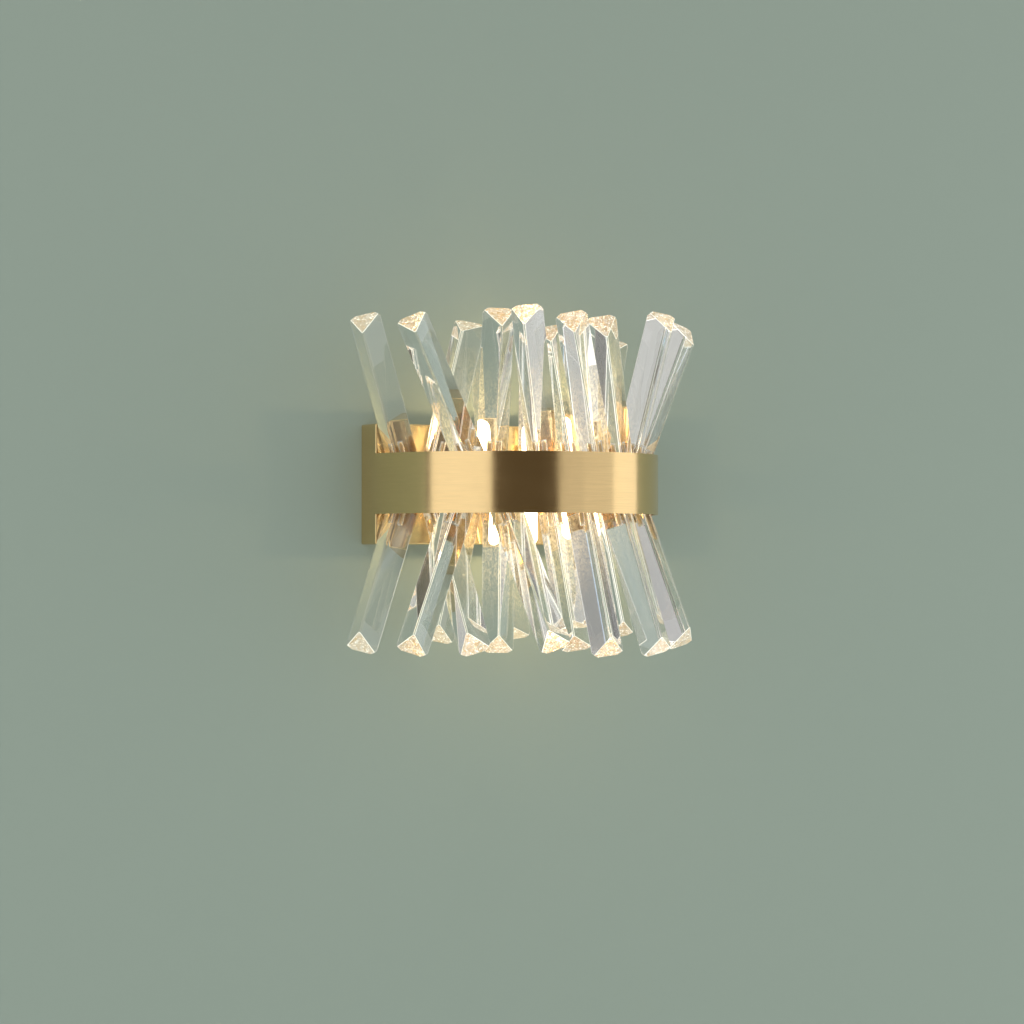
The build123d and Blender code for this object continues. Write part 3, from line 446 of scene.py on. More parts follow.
def clear_crystal(name, tint, smooth, rough, depth, glow=0.0, painted_sparkle=0.0):
    """Polished or ground faces of a prism: clear glass with faint smears. Near the lamps
    its fine flaws get a painted sparkle, and ground edges and edge lines a painted
    glow: emission that stands in for the lamps' light."""
    finish, tree, shader, output, place = new_finish(name)
    marked = place_effect(tree, EFFECTS["marks"], Vector=place, Size=70.0)
    grained = place_effect(tree, EFFECTS["grain"], Vector=place, Scale=55.0)
    feed(tree, shader.inputs["Base Color"], tones(tree, marked["Marks"], tint, scaled(tint, 0.97)))
    feed(tree, shader.inputs["Roughness"], spread(tree, marked["Marks"], 0.0, 1.0, smooth, rough))
    shader.inputs["IOR"].default_value = CRYSTAL_IOR
    shader.inputs["Transmission Weight"].default_value = 1.0
    # painted sparkle: warm emission on the flecks, fading with distance from the lamps
    if painted_sparkle:
        glitter = place_effect(tree, EFFECTS["glitter"], Vector=place, Scale=520.0)
        flaws = spread(tree, glitter["Flecks"], 0.35, 1.0, 0.12, 1.0)
        beside = place_effect(tree, EFFECTS["nearness"], Vector=place, Reach=PAINTED_SPARKLE_REACH)
        lit = sums(tree, "MULTIPLY", beside["Near"], flaws)
        feed(tree, shader.inputs["Emission Color"], tones(tree, lit, (0, 0, 0), PAINTED_SPARKLE_COLOUR))
        shader.inputs["Emission Strength"].default_value = painted_sparkle
    # painted glow: emission in the tint's colour that stands in for the lamps' light
    if glow:
        feed(tree, shader.inputs["Emission Color"], tones(tree, grained["Grain"], scaled(tint, 0.8), tint))
        shader.inputs["Emission Strength"].default_value = glow
    bump(tree, shader, grained["Grain"], depth)
    let_lamps_through(tree, shader, output, scaled(tint, 0.96))
    return finish


def glitter_end_with_painted_light(name, cream, gold, fleck, glow):
    """Slanted end facets: small cream-gold flecks behind the glass, painted light that
    stands in for the lamps' warm light reflected in the ends, with a painted glow and
    painted glints.
    """
    finish, tree, shader, output, place = new_finish(name)
    glitter = place_effect(tree, EFFECTS["glitter"], Vector=place, Scale=1 / fleck, Tilt=0.22)
    cloud = spread(tree, noise(tree, place, 210.0, 4.0, 0.7), 0.36, 0.62, 0.0, 0.75)
    speck = sums(tree, "MULTIPLY", glitter["Flecks"], 0.45)
    crease = sums(tree, "MULTIPLY", glitter["Creases"], 0.4)
    shade = sums(tree, "ADD", crease, sums(tree, "ADD", cloud, speck))
    # the brightest flecks are lifted to cream, as painted glints
    bright = spread(tree, glitter["Flecks"], 0.78, 0.86, 0.0, 1.0)
    shade = sums(tree, "SUBTRACT", shade, bright, clamp=True)
    colour = tones(tree, shade, cream, gold)
    feed(tree, shader.inputs["Base Color"], colour)
    # painted glints: the brightest flecks glow near white, the rest with a painted glow in their own colour
    painted_glint_mask = spread(tree, glitter["Flecks"], 0.9, 0.93, 0.0, 1.0)
    painted_glow_colour = lengthen(tree, colour, 0.38)
    feed(tree, shader.inputs["Emission Color"], tones(tree, painted_glint_mask, painted_glow_colour, (1.0, 0.96, 0.86)))
    feed(tree, shader.inputs["Roughness"], spread(tree, glitter["Flecks"], 0.0, 1.0, 0.04, 0.22))
    feed(tree, shader.inputs["Normal"], glitter["Normal"])
    shader.inputs["IOR"].default_value = CRYSTAL_IOR
    shader.inputs["Transmission Weight"].default_value = 0.72
    shader.inputs["Emission Strength"].default_value = glow
    let_lamps_through(tree, shader, output, scaled(cream, 0.8))
    return finish


def lamp_glass_finish(light):
    """Capsule glass, lightly frosted, that glows from the filament inside it."""
    finish, tree, shader, output, place = new_finish("lamp glass")
    warm = (1.0, 0.97, 0.92)
    grained = place_effect(tree, EFFECTS["grain"], Vector=place, Scale=700.0)
    feed(tree, shader.inputs["Base Color"], tones(tree, grained["Grain"], warm, (1.0, 1.0, 0.98)))
    feed(tree, shader.inputs["Roughness"], spread(tree, grained["Grain"], 0.3, 0.7, 0.12, 0.22))
    beside = place_effect(tree, EFFECTS["nearness"], Vector=place, Reach=0.024)
    feed(tree, shader.inputs["Emission Color"], tones(tree, beside["Near"], scaled(light, 0.22), light))
    shader.inputs["Emission Strength"].default_value = 3.2
    shader.inputs["IOR"].default_value = 1.47
    shader.inputs["Transmission Weight"].default_value = 0.95
    bump(tree, shader, grained["Grain"], 0.00001)
    let_lamps_through(tree, shader, output, warm)
    return finish


def filament_finish(light, glow, half_length):
    """Tungsten wire, white-hot in the middle and duller towards its ends."""
    finish, tree, shader, _, place = new_finish("filament")
    reach = sums(tree, "ABSOLUTE", split(tree, place)[0])
    cool = spread(tree, reach, half_length * 0.6, half_length, 0.0, 1.0, "SMOOTHSTEP")
    grained = place_effect(tree, EFFECTS["grain"], Vector=place, Scale=4000.0)
    tungsten = tones(tree, grained["Grain"], (0.3, 0.28, 0.26), (0.5, 0.48, 0.45))
    feed(tree, shader.inputs["Base Color"], tungsten)
    feed(tree, shader.inputs["Emission Color"], tones(tree, cool, light, scaled(light, 0.25)))
    feed(tree, shader.inputs["Roughness"], spread(tree, grained["Grain"], 0.0, 1.0, 0.35, 0.5))
    shader.inputs["Emission Strength"].default_value = glow
    shader.inputs["Metallic"].default_value = 1.0
    return finish


def earth_sleeving_finish():
    """Green sleeving with a yellow stripe along its upper side."""
    finish, tree, shader, _, place = new_finish("earth sleeving")
    rise = split(tree, put(tree, "ShaderNodeTexCoord").outputs["Normal"])[2]
    stripe = spread(tree, rise, 0.28, 0.36, 0.0, 1.0)
    grained = place_effect(tree, EFFECTS["grain"], Vector=place, Scale=1200.0)
    striped = tones(tree, stripe, (0.05, 0.32, 0.06), (0.8, 0.62, 0.04))
    soiled = sums(tree, "MULTIPLY", grained["Grain"], 0.2)
    feed(tree, shader.inputs["Base Color"], tones(tree, soiled, striped, (0.02, 0.05, 0.02)))
    feed(tree, shader.inputs["Roughness"], spread(tree, grained["Grain"], 0.3, 0.7, 0.38, 0.5))
    bump(tree, shader, grained["Grain"], 0.00001)
    return finish


# ---------- modelling helpers
def activate(piece):
    """Select only this piece and make it the active one."""
    bpy.ops.object.select_all(action="DESELECT")
    piece.select_set(True)
    bpy.context.view_layer.objects.active = piece


def merged_copy(node, name):
    """A copy of a CAD node's mesh, its loose triangles merged into plain faces."""
    piece = bpy.data.objects.new(name, NODES[node].data.copy())
    piece.data.name = name
    bpy.context.scene.collection.objects.link(piece)
    activate(piece)
    piece.data.materials.clear()
    bpy.ops.mesh.customdata_custom_splitnormals_clear()
    bpy.ops.object.mode_set(mode="EDIT")
    bpy.ops.mesh.select_all(action="SELECT")
    bpy.ops.mesh.remove_doubles(threshold=MERGE)
    bpy.ops.mesh.dissolve_limited(angle_limit=FLAT)
    bpy.ops.mesh.normals_make_consistent(inside=False)
    bpy.ops.object.mode_set(mode="OBJECT")
    return piece


def apply_modifier(piece, kind, **settings):
    made = piece.modifiers.new(kind.title(), kind)
    for name, value in settings.items():
        setattr(made, name, value)
    activate(piece)
    bpy.ops.object.modifier_apply(modifier=made.name)


def soften(piece, width, segments=2, angle=30.0):
    """Round every sharp edge a little and keep the large faces flat."""
    apply_modifier(
        piece, "BEVEL", width=width, segments=segments, limit_method="ANGLE",
        angle_limit=math.radians(angle), use_clamp_overlap=True,
    )
    activate(piece)
    bpy.ops.object.shade_smooth_by_angle(angle=math.radians(angle))
    apply_modifier(piece, "WEIGHTED_NORMAL", keep_sharp=True, weight=60)


def settle(piece, body, slot, *nodes):
    """Put a finished piece on the body it rides on, and hide the CAD nodes it takes the place of. The slot is
    not used.
    """
    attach(piece, body)
    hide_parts(*nodes)


def dress(node, finish):
    """Give a CAD node that stays its finish."""
    NODES[node].material_slots[0].material = finish


# ---------- prisms
CLEAR, EDGE, LINE, END, BORE = range(5)


def prism_axis(piece, face_width):
    """A prism's direction and the middle of its inner end, from its long faces."""
    sides = sorted(piece.data.polygons, key=lambda face: face.area, reverse=True)[:3]
    axis = sides[0].normal.cross(sides[1].normal).normalized()
    if axis.z * sides[0].center.z < 0:
        axis.negate()
    inner = min(vertex.co.dot(axis) for vertex in piece.data.vertices)
    depth = face_width / (2 * math.sqrt(3))
    rows = [side.normal for side in sides] + [axis]
    levels = [side.center.dot(side.normal) - depth for side in sides] + [inner]
    start = np.linalg.lstsq(np.array(rows), np.array(levels), rcond=None)[0]
    return axis, Vector(start)


def is_narrow(mesh, face, width):
    """Whether a face is a strip no wider than the given width."""
    ends = [mesh.vertices[index].co for index in face.vertices]
    longest = max((one - other).length for one, other in zip(ends, ends[1:] + ends[:1]))
    return face.area < longest * width


FACES_BACK = -0.3  # a face that turns this far against the axis is the inner end
FACES_OUT = 0.2  # and this far along it, a facet of the outer end
LINE_SLACK = 1.6  # widest edge line, in bevel widths
CORNER_SHARE = 0.42  # the corners' flats stand this far out, in face widths


def prism_part(mesh, face, axis, start, settings):
    """Which of the glass finishes a face of a prism gets."""
    offset = face.center - start
    along = offset.dot(axis)
    lean = face.normal.dot(axis)
    aside = (offset - axis * along).length
    in_bore = along < settings.bore_depth + 0.001 and aside < settings.bore * 1.1
    if in_bore or lean < FACES_BACK:
        return BORE
    if is_narrow(mesh, face, settings.edge_line * LINE_SLACK):
        return LINE
    if lean > FACES_OUT:
        return END
    if offset.dot(face.normal) > settings.face_width * CORNER_SHARE:
        return EDGE
    return CLEAR


THREAD_BLANK = 0.015  # the thread as modelled, before it gets each stud's length
THREAD_SIDES = 14
STUD_MARGIN = 0.001  # at the ends of the blank, to tell its edges and corners apart


def model_stud(settings):
    """A stud upright at the origin: a diamond-knurled insert above, its thread below."""
    rows, sides, grooves = 12, 24, 44
    length = settings.insert_length
    bpy.ops.object.select_all(action="DESELECT")
    bpy.ops.mesh.primitive_cylinder_add(
        vertices=sides, radius=settings.insert, depth=length, location=(0, 0, length / 2)
    )
    stud = bpy.context.object
    bpy.ops.object.transform_apply(location=True, rotation=True, scale=True)
    bpy.ops.object.mode_set(mode="EDIT")
    ring_cuts(stud, lambda low, high: high - low > length * 0.9, rows - 1)

    def in_knurl(co):
        """Every second corner of every second ring, which leaves diamonds."""
        ring = round(co.z / length * rows)
        place = round(math.atan2(co.y, co.x) / math.tau * sides)
        return STUD_MARGIN < co.z < length - STUD_MARGIN and (ring + place) % 2

    def in_groove(co):
        groove = round(-co.z / THREAD_BLANK * grooves)
        return 0 < groove < grooves and groove % 2

    press(stud, in_knurl, 0.9)
    bpy.ops.mesh.select_all(action="DESELECT")
    bpy.ops.mesh.primitive_cylinder_add(
        vertices=THREAD_SIDES, radius=settings.shank, depth=THREAD_BLANK, location=(0, 0, -THREAD_BLANK / 2)
    )
    ring_cuts(stud, lambda low, high: low < STUD_MARGIN - THREAD_BLANK and high > -STUD_MARGIN, grooves - 1)
    press(stud, in_groove, 0.86)
    bpy.ops.object.mode_set(mode="OBJECT")
    return stud


def ring_cuts(piece, wanted, cuts):
    """Cut the upright edges whose lowest and highest Z are wanted."""
    bpy.ops.mesh.select_mode(type="EDGE")
    bpy.ops.mesh.select_all(action="DESELECT")
    bpy.ops.object.mode_set(mode="OBJECT")
    for edge in piece.data.edges:
        ends = sorted(piece.data.vertices[index].co.z for index in edge.vertices)
        edge.select = ends[1] - ends[0] > MERGE * 10 and wanted(*ends)
    bpy.ops.object.mode_set(mode="EDIT")
    bpy.ops.mesh.subdivide(number_cuts=cuts)


def press(piece, wanted, share):
    """Move the wanted corners towards the Z axis."""
    bpy.ops.mesh.select_mode(type="VERT")
    bpy.ops.mesh.select_all(action="DESELECT")
    bpy.ops.object.mode_set(mode="OBJECT")
    for vertex in piece.data.vertices:
        vertex.select = bool(wanted(vertex.co))
    bpy.ops.object.mode_set(mode="EDIT")
    bpy.ops.transform.resize(value=(share, share, 1), center_override=(0, 0, 0))


def place_studs(axes, settings, finish):
    """One stud in each prism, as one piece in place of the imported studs."""
    model = model_stud(settings)
    copies = []
    for axis, start in axes:
        stud = model.copy()
        stud.data = model.data.copy()
        bpy.context.scene.collection.objects.link(stud)
        reach = settings.stud_rise / abs(axis.z) + settings.stud_foot
        for vertex in stud.data.vertices:
            if vertex.co.z < -MERGE:
                vertex.co.z *= reach / THREAD_BLANK
        turn = axis.to_track_quat("Z", "X").to_matrix().to_4x4()
        stud.data.transform(Matrix.Translation(start) @ turn)
        copies.append(stud)
    bpy.data.objects.remove(model)
    activate(copies[0])
    for stud in copies:
        stud.select_set(True)
    bpy.ops.object.join()
    studs = bpy.context.object
    studs.name = studs.data.name = "knurled_studs"
    studs.data.materials.append(finish)
    settle(studs, "sconce", "polished_gold", "crystal_studs")


class SCONCE_OT_prisms(bpy.types.Operator):
    """Give every prism its edge lines, ground flats, glittering end and knurled stud"""

    bl_idname = "sconce.prisms"
    bl_label = "Prisms"

    def execute(self, context):
        settings = context.scene.sconce_crystal
        tint, edge_tint, line_tint = settings.tint[:], settings.edge_tint[:], settings.line_tint[:]
        cream, gold = settings.cream[:], settings.gold[:]
        # in the order of CLEAR, EDGE, LINE, END and BORE
        glass = (
            clear_crystal("crystal polished face", tint, 0.0, 0.015, 0.000001, painted_sparkle=settings.painted_sparkle),
            clear_crystal("crystal ground edge", edge_tint, 0.06, 0.14, 0.000002, settings.painted_edge_glow),
            clear_crystal("crystal edge line", line_tint, 0.08, 0.16, 0.000004, settings.painted_line_glow),
            glitter_end_with_painted_light("crystal glitter end painted light", cream, gold, settings.glitter, settings.painted_end_glow),
            clear_crystal("crystal frosted bore", scaled(edge_tint, 0.95), 0.45, 0.6, 0.00003),
        )
        axes = []
        for node in sorted(name for name in NODES if name.startswith(("crystal_upper", "crystal_lower"))):
            piece = merged_copy(node, node.replace("crystal", "prism"))
            axis, start = prism_axis(piece, settings.face_width)
            axes.append((axis, start))
            apply_modifier(
                piece, "BEVEL", width=settings.edge_line, segments=1, limit_method="ANGLE",
                angle_limit=math.radians(25), use_clamp_overlap=True,
            )
            for finish in glass:
                piece.data.materials.append(finish)
            for face in piece.data.polygons:
                face.material_index = prism_part(piece.data, face, axis, start, settings)
                face.use_smooth = False
            settle(piece, "sconce", "crystal_glass", node)
        polished = context.scene.sconce_metal.polished[:]
        place_studs(axes, settings, metal_finish("stud gold", polished, 0.12, 0.22, lines=0.2, grain=1800.0))
        return {"FINISHED"}


# ---------- gold metal
class SCONCE_OT_gold_shell(bpy.types.Operator):
    """Soften and finish the band, the backplate and the two carriers"""

    bl_idname = "sconce.gold_shell"
    bl_label = "Band, backplate and carriers"

    def execute(self, context):
        settings = context.scene.sconce_metal
        satin = metal_finish("satin gold", settings.satin[:], 0.11, 0.18, pitch=settings.line_pitch)
        polished = metal_finish(
            "polished gold", settings.polished[:], 0.07, 0.14, pitch=0.0009, lines=0.4, depth=0.000003
        )
        for node, name, slot, finish in (
            ("band", "gold_band", "satin_gold", satin),
            ("backplate_cover", "gold_backplate", "satin_gold", satin),
            ("upper_carrier", "upper_gold_carrier", "polished_gold", polished),
            ("lower_carrier", "lower_gold_carrier", "polished_gold", polished),
        ):
            piece = merged_copy(node, name)
            soften(piece, settings.edge_radius)
            piece.data.materials.append(finish)
            settle(piece, "sconce", slot, node)
        dress("seat_bushes", polished)
        return {"FINISHED"}


class SCONCE_OT_fixings(bpy.types.Operator):
    """Finish the nuts, washers, spacers, screws, strap, arm and bracket"""

    bl_idname = "sconce.fixings"
    bl_label = "Fixings and arm"

    def execute(self, context):
        settings = context.scene.sconce_metal
        zinc = metal_finish("bright zinc", settings.steel[:], 0.2, 0.3, pitch=0.0007, lines=0.6, grain=2200.0)
        screws = metal_finish(
            "gold screws", settings.satin[:], 0.16, 0.26, lines=0.2, depth=0.000006, grain=1600.0
        )
        brass = metal_finish("plated brass", settings.brass[:], 0.16, 0.26, pitch=0.0005, lines=0.7)
        for node in (
            "wedge_washers", "stud_nuts", "carrier_spacers", "rivet_nuts",
            "mounting_strap", "lampholder_screws", "earth_screw",
        ):
            dress(node, zinc)
        for node in ("countersunk_screws", "carrier_screws", "cover_screws"):
            dress(node, screws)
        for node in ("arm_tube", "arm_nuts", "lamp_bracket"):
            dress(node, brass)
        return {"FINISHED"}


# ---------- lamps
WIRE_CORNERS = 8  # round the filament's wire
COIL_STEPS = 14  # along one turn of it
SUPPORT_R = 0.0003
SUPPORT_CORNERS = 10


def wind_filament(name, up, settings):
    """A coil wound along X on two upright supports, with its ends closed."""
    low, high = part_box(f"{name}_bulb_filament")
    centre = (low + high) / 2
    half = settings.coil_length / 2
    top, foot = (high.z, low.z) if up > 0 else (low.z, high.z)
    rise = top - up * settings.coil_radius
    lane = settings.coil_radius - settings.wire
    steps = COIL_STEPS * settings.turns
    start = (centre.x - half, centre.y, rise + lane)
    bpy.ops.object.select_all(action="DESELECT")
    bpy.ops.mesh.primitive_circle_add(vertices=WIRE_CORNERS, radius=settings.wire, location=start)
    coil = bpy.context.object
    bpy.ops.object.transform_apply(location=True, rotation=True, scale=True)
    bpy.ops.object.mode_set(mode="EDIT")
    bpy.ops.mesh.select_all(action="SELECT")
    # the ring stands across the wire's way round the coil: it lies in the X and Z
    # plane through the coil's axis
    bpy.ops.transform.rotate(value=math.pi / 2, orient_axis="X", center_override=start)
    bpy.ops.mesh.spin(
        steps=steps, angle=math.tau * settings.turns, center=(start[0], start[1], rise), axis=(1, 0, 0)
    )
    bpy.ops.object.mode_set(mode="OBJECT")
    # each ring of the winding moves on along X by its share of the length
    for vertex in coil.data.vertices:
        vertex.co.x += settings.coil_length * (vertex.index // WIRE_CORNERS) / steps
    bpy.ops.object.mode_set(mode="EDIT")
    bpy.ops.mesh.select_all(action="DESELECT")
    bpy.ops.mesh.select_mode(type="EDGE")
    bpy.ops.mesh.select_non_manifold()
    bpy.ops.mesh.fill()
    # each support is round for nine tenths of its height, and pinched flat above
    for side in (-1, 1):
        at = (centre.x + side * (half - 2 * SUPPORT_R), centre.y, foot)
        bpy.ops.mesh.select_all(action="DESELECT")
        bpy.ops.mesh.primitive_circle_add(
            vertices=SUPPORT_CORNERS, radius=SUPPORT_R, fill_type="NGON", location=at
        )
        bpy.ops.mesh.extrude_region_move(TRANSFORM_OT_translate={"value": (0, 0, (rise - foot) * 0.9)})
        bpy.ops.transform.resize(value=(0.7, 1.3, 1.0))
        bpy.ops.mesh.extrude_region_move(TRANSFORM_OT_translate={"value": (0, 0, (rise - foot) * 0.1)})
    bpy.ops.mesh.select_all(action="SELECT")
    bpy.ops.mesh.normals_make_consistent(inside=False)
    bpy.ops.object.mode_set(mode="OBJECT")
    coil.name = coil.data.name = f"{name}_wound_filament"
    activate(coil)
    bpy.ops.object.shade_smooth_by_angle(angle=math.radians(50))
    return coil


class SCONCE_OT_lamps(bpy.types.Operator):
    """Wind the filaments, finish the capsules and holders, and light the lamps"""

    bl_idname = "sconce.lamps"
    bl_label = "Lamps"

    def execute(self, context):
        settings = context.scene.sconce_lamp
        light = settings.light[:]
        glass = lamp_glass_finish(light)
        hot = filament_finish(light, settings.glow, settings.coil_length / 2)
        wire = metal_finish("lamp wire", SLOT_COLOURS["lamp_wire"], 0.18, 0.3, lines=0.3, grain=3000.0)
        ceramic = moulded_finish(
            "holder ceramic", (0.86, 0.84, 0.8), 0.45, 0.6, scale=1500.0, depth=0.00003, pits=0.6
        )
        for name, up in (("upper", 1), ("lower", -1)):
            dress(f"{name}_bulb_glass", glass)
            dress(f"{name}_bulb_pins", wire)
            dress(f"{name}_lampholder", ceramic)
            coil = wind_filament(name, up, settings)
            coil.data.materials.append(hot)
            settle(coil, f"{name}_bulb", "filament", f"{name}_bulb_filament")
            low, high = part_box(f"{name}_bulb_filament")
            at = Vector(((low.x + high.x) / 2, (low.y + high.y) / 2, high.z if up > 0 else low.z))
            bpy.ops.object.light_add(type="POINT", location=at)
            lamp = bpy.context.object
            lamp.name = f"{name}_lamp_light"
            lamp.data.energy = settings.power
            lamp.data.color = light
            lamp.data.shadow_soft_size = 0.005
            lamp.visible_glossy = False
            lamp.visible_transmission = False
            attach(lamp, f"{name}_bulb")
        return {"FINISHED"}


# ---------- wiring
class SCONCE_OT_wiring(bpy.types.Operator):
    """Finish the terminal block, leads, earth pieces and cable grommet"""

    bl_idname = "sconce.wiring"
    bl_label = "Wiring"

    def execute(self, context):
        brass = SLOT_COLOURS["terminal_brass"]
        brass = metal_finish("terminal brass", brass, 0.24, 0.36, lines=0.2, depth=0.00001, grain=1200.0)
        plastic = moulded_finish("block plastic", (0.8, 0.79, 0.74), 0.35, 0.48, scale=1400.0, pits=0.2)
        sleeving = moulded_finish(
            "lead sleeving", (0.82, 0.8, 0.75), 0.38, 0.5, scale=2200.0, depth=0.00001, pits=0.1
        )
        rubber = moulded_finish("grommet rubber", (0.035, 0.035, 0.036), 0.5, 0.68, scale=1600.0, pits=0.4)
        dress("terminal_block", plastic)
        dress("lamp_leads", sleeving)
        dress("cable_grommet", rubber)
        dress("earth_lead", earth_sleeving_finish())
        for node in ("terminal_screws", "earth_terminal"):
            dress(node, brass)
        return {"FINISHED"}


# ---------- stage
def one_sided(name, colour, grain_scale, opening=(0.0, 0.0)):
    """A plain painted surface that is seen from its front only. The wall is open
    behind the backplate, so that the parts there aren't shut in the dark."""
    finish, tree, shader, output, place = new_finish(name)
    grained = place_effect(tree, EFFECTS["grain"], Vector=place, Scale=grain_scale)
    paint = tones(tree, grained["Grain"], scaled(colour, 0.99), scaled(colour, 1.01))
    feed(tree, shader.inputs["Base Color"], paint)
    shader.inputs["Roughness"].default_value = 0.9
    shader.inputs["Specular IOR Level"].default_value = 0.2
    path = put(tree, "ShaderNodeLightPath").outputs
    back = put(tree, "ShaderNodeNewGeometry").outputs["Backfacing"]
    x, _, z = split(tree, place)
    sides = [sums(tree, "ABSOLUTE", way) for way in (x, z)]
    within = [sums(tree, "LESS_THAN", side, half) for side, half in zip(sides, opening)]
    through = sums(tree, "MAXIMUM", path["Is Shadow Ray"], sums(tree, "MULTIPLY", *within))
    clear = put(tree, "ShaderNodeBsdfTransparent")
    mix = put(
        tree, "ShaderNodeMixShader",
        {0: sums(tree, "MAXIMUM", back, through), 1: shader.outputs[0], 2: clear.outputs[0]},
    )
    feed(tree, output.inputs["Surface"], mix.outputs[0])
    return finish


CARD_AZIMUTH = -13  # middle of the dark card, in degrees to the right of the front
CARD_HALF = (22, 30)  # half its width, where it begins to fade and where it ends
STRIP_RATE = 7.5  # upright strips in half a turn round the light
FRINGE = 0.011  # how far the strips' colours part, in radians


def studio_world():
    """Pale all round for the camera, with a dark card behind it for metal and glass."""
    world = bpy.data.worlds.new("studio")
    world.use_nodes = True
    tree = world.node_tree
    tree.nodes.clear()
    output = tree.nodes.new("ShaderNodeOutputWorld")
    ways = put(tree, "ShaderNodeTexCoord").outputs["Generated"]
    x, y, z = split(tree, ways)
    azimuth = sums(tree, "ARCTAN2", x, sums(tree, "MULTIPLY", y, -1.0))
    aside = sums(tree, "ABSOLUTE", sums(tree, "ADD", azimuth, math.radians(-CARD_AZIMUTH)))
    card_width = spread(tree, aside, *(math.radians(half) for half in CARD_HALF), 1.0, 0.0, "SMOOTHSTEP")
    card_height = spread(tree, sums(tree, "ABSOLUTE", z), 0.5, 0.7, 1.0, 0.0, "SMOOTHSTEP")
    card = sums(tree, "MULTIPLY", card_width, card_height)
    # dim in front, where the glass needs dark lines, and pale behind
    level = spread(tree, y, 0.4, 0.85, 0.16, 0.7, "SMOOTHSTEP")
    room = spread(tree, z, -0.2, 0.9, level, 0.85, "SMOOTHSTEP")
    seen = spread(tree, card, 0.0, 1.0, room, 0.09)
    path = put(tree, "ShaderNodeLightPath").outputs
    # narrow upright strips that only the glass picks up, as fine bright lines whose
    # colours part a little at their sides
    bands = []
    for shift in (-FRINGE, 0.0, FRINGE):
        turned = sums(tree, "MULTIPLY", sums(tree, "ADD", azimuth, shift), STRIP_RATE)
        wave = sums(tree, "ABSOLUTE", sums(tree, "SINE", turned))
        lit = spread(tree, wave, 0.93, 0.98, 0.0, 0.6)
        bands.append(sums(tree, "MULTIPLY", lit, path["Is Transmission Ray"]))
    strips = join(tree, *(sums(tree, "ADD", band, bands[1]) for band in bands))
    mirrored = sums(tree, "MAXIMUM", path["Is Glossy Ray"], path["Is Transmission Ray"])
    strength = spread(tree, mirrored, 0.0, 1.0, 0.64, seen)
    strength = spread(tree, path["Is Camera Ray"], 0.0, 1.0, strength, 0.8)
    warm_card = tones(tree, sums(tree, "MULTIPLY", card, mirrored), (1.0, 0.99, 0.965), (1.0, 0.82, 0.6))
    even = lengthen(tree, warm_card, strength)
    back = put(tree, "ShaderNodeBackground", {"Color": vectors(tree, "ADD", even, strips), "Strength": 1.0})
    feed(tree, output.inputs["Surface"], back.outputs[0])
    bpy.context.scene.world = world


def toward(azimuth, elevation=0.0):
    """Direction from the light, 0 to its front and positive to its right and up."""
    level = math.cos(elevation)
    return Vector((math.sin(azimuth) * level, -math.cos(azimuth) * level, math.sin(elevation)))


LIGHT_DISTANCE = 2.2
# name, degrees to the right and up, width, height and power
SOFT_LIGHTS = (
    ("left_softbox", -62, 0, 1.98, 2.4, 13.5),
    ("right_strip", 22.5, 0, 0.82, 2.4, 2.9),
    ("right_softbox", 46.5, 0, 1.06, 2.4, 4.4),
    ("far_right_softbox", 74, 0, 1.1, 2.4, 8.4),
    ("rear_left", -140, 20, 1.2, 1.2, 5.0),
    ("rear_right", 140, 20, 1.2, 1.2, 5.0),
)


def soft_light(name, azimuth, elevation, width, height, power):
    """A large soft light turned to the ring's centre, which the glass doesn't show."""
    way = toward(math.radians(azimuth), math.radians(elevation))
    bpy.ops.object.light_add(type="AREA", location=RING_CENTRE + way * LIGHT_DISTANCE)
    made = bpy.context.object
    made.name = name
    made.rotation_euler = (-way).to_track_quat("-Z", "Y").to_euler()
    made.data.shape = "RECTANGLE"
    made.data.size, made.data.size_y = width, height
    made.data.energy = power
    made.visible_camera = False
    made.visible_transmission = False


WALL_GAP = 0.0006  # behind the strap's rear face
WALL_WIDTH = 8.0
WALL_TOP = 2.0  # above the light's middle, less the floor's drop
OPENING_MARGIN = 0.001  # the opening stays this far inside the backplate's outline
AIM_ASIDE = 0.00073  # sideways turn of the camera, in radians


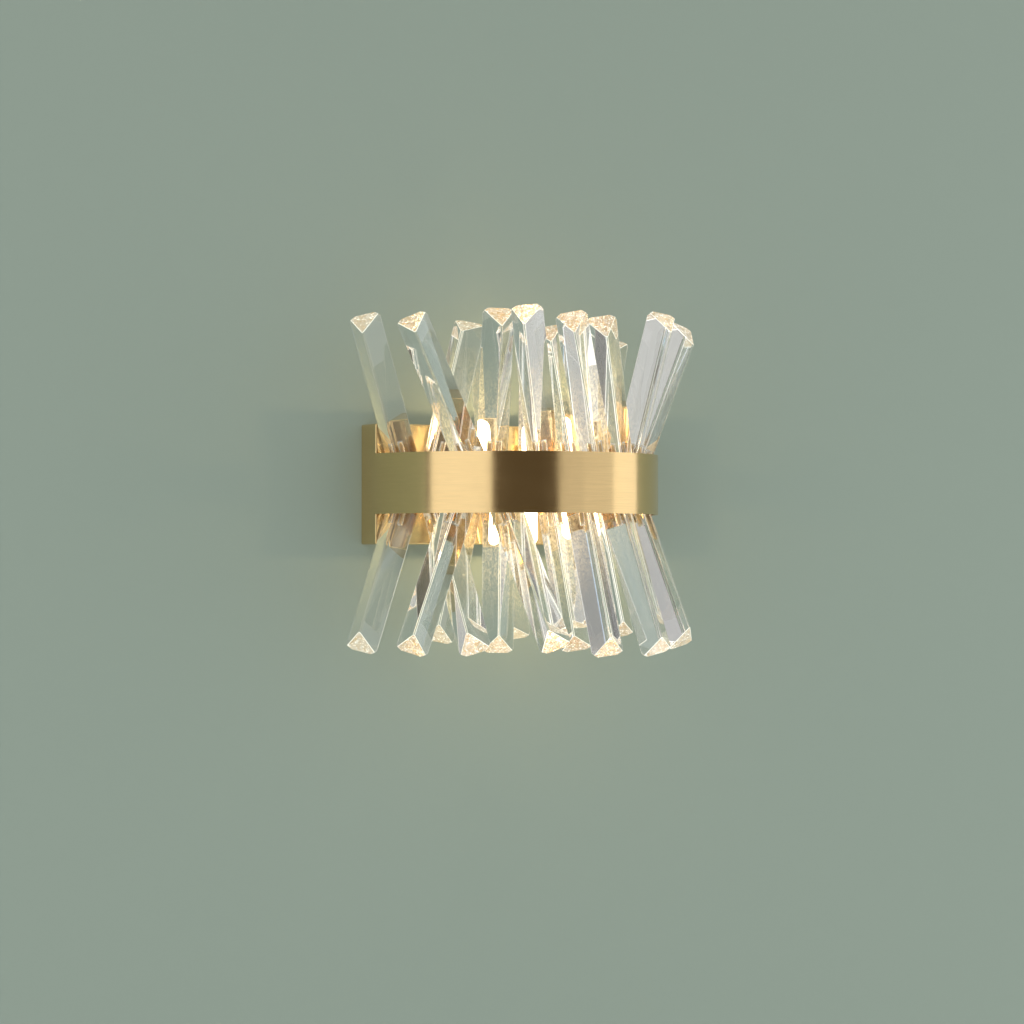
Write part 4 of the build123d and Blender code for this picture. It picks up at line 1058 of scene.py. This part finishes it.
class SCONCE_OT_stage(bpy.types.Operator):
    """Set the wall, the floor, the soft lights and the camera"""

    bl_idname = "sconce.stage"
    bl_label = "Stage"

    def execute(self, context):
        settings = context.scene.sconce_stage
        drop = settings.floor_drop
        bpy.ops.object.select_all(action="DESELECT")
        bpy.ops.mesh.primitive_plane_add(size=1, location=(0, WALL_GAP, WALL_TOP / 2))
        wall = bpy.context.object
        wall.name = "stage_wall"
        wall.rotation_euler = (math.pi / 2, 0, 0)
        wall.scale = (WALL_WIDTH, WALL_TOP + 2 * drop, 1)
        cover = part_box("backplate_cover")[1]
        opening = (cover.x - OPENING_MARGIN, cover.z - OPENING_MARGIN)
        wall.data.materials.append(one_sided("wall paint", settings.wall[:], 350.0, opening))
        bpy.ops.mesh.primitive_plane_add(size=10, location=(0, 0, -drop))
        floor = bpy.context.object
        floor.name = "stage_floor"
        floor.data.materials.append(one_sided("floor paint", settings.floor[:], 120.0))
        for ground in (wall, floor):
            activate(ground)
            bpy.ops.object.transform_apply(location=True, rotation=True, scale=True)

        for row in SOFT_LIGHTS:
            soft_light(*row)

        level = toward(settings.azimuth)
        right = Vector((math.cos(settings.azimuth), math.sin(settings.azimuth), 0))
        ahead = (-level + right * AIM_ASIDE).normalized()
        aim = ahead * math.cos(settings.pitch) + Vector((0, 0, math.sin(settings.pitch)))
        place = RING_CENTRE + level * settings.distance - Vector((0, 0, settings.camera_drop))
        bpy.ops.object.camera_add(location=place, rotation=aim.to_track_quat("-Z", "Y").to_euler())
        camera = bpy.context.object
        camera.name = "photo_camera"
        camera.data.lens = settings.lens
        camera.data.sensor_width = 36
        camera.data.clip_end = 50
        context.scene.camera = camera
        context.scene.view_settings.view_transform = "Standard"
        studio_world()
        return {"FINISHED"}


# ---------- panel
OPERATORS = (
    SCONCE_OT_prisms,
    SCONCE_OT_gold_shell,
    SCONCE_OT_fixings,
    SCONCE_OT_lamps,
    SCONCE_OT_wiring,
    SCONCE_OT_stage,
)
SETTINGS = {
    "sconce_crystal": SconceCrystalSettings,
    "sconce_metal": SconceMetalSettings,
    "sconce_lamp": SconceLampSettings,
    "sconce_stage": SconceStageSettings,
}


class SCONCE_PT_panel(bpy.types.Panel):
    """Settings and operators of the crystal wall sconce"""

    bl_idname = "SCONCE_PT_panel"
    bl_label = "Crystal wall sconce"
    bl_space_type = "VIEW_3D"
    bl_region_type = "UI"
    bl_category = "Sconce"

    def draw(self, context):
        for group, kind in SETTINGS.items():
            box = self.layout.box()
            for name in kind.__annotations__:
                box.prop(getattr(context.scene, group), name)
        for operator in OPERATORS:
            self.layout.operator(operator.bl_idname)


def register():
    for kind in (*SETTINGS.values(), *OPERATORS, SCONCE_PT_panel):
        bpy.utils.register_class(kind)
    for name, kind in SETTINGS.items():
        setattr(bpy.types.Scene, name, PointerProperty(type=kind))


def unregister():
    for name in SETTINGS:
        delattr(bpy.types.Scene, name)
    for kind in reversed((*SETTINGS.values(), *OPERATORS, SCONCE_PT_panel)):
        bpy.utils.unregister_class(kind)


def main():
    register()
    build_effects()
    for operator in OPERATORS:
        group, name = operator.bl_idname.split(".")
        getattr(getattr(bpy.ops, group), name)()


if __name__ == "__main__":
    main()
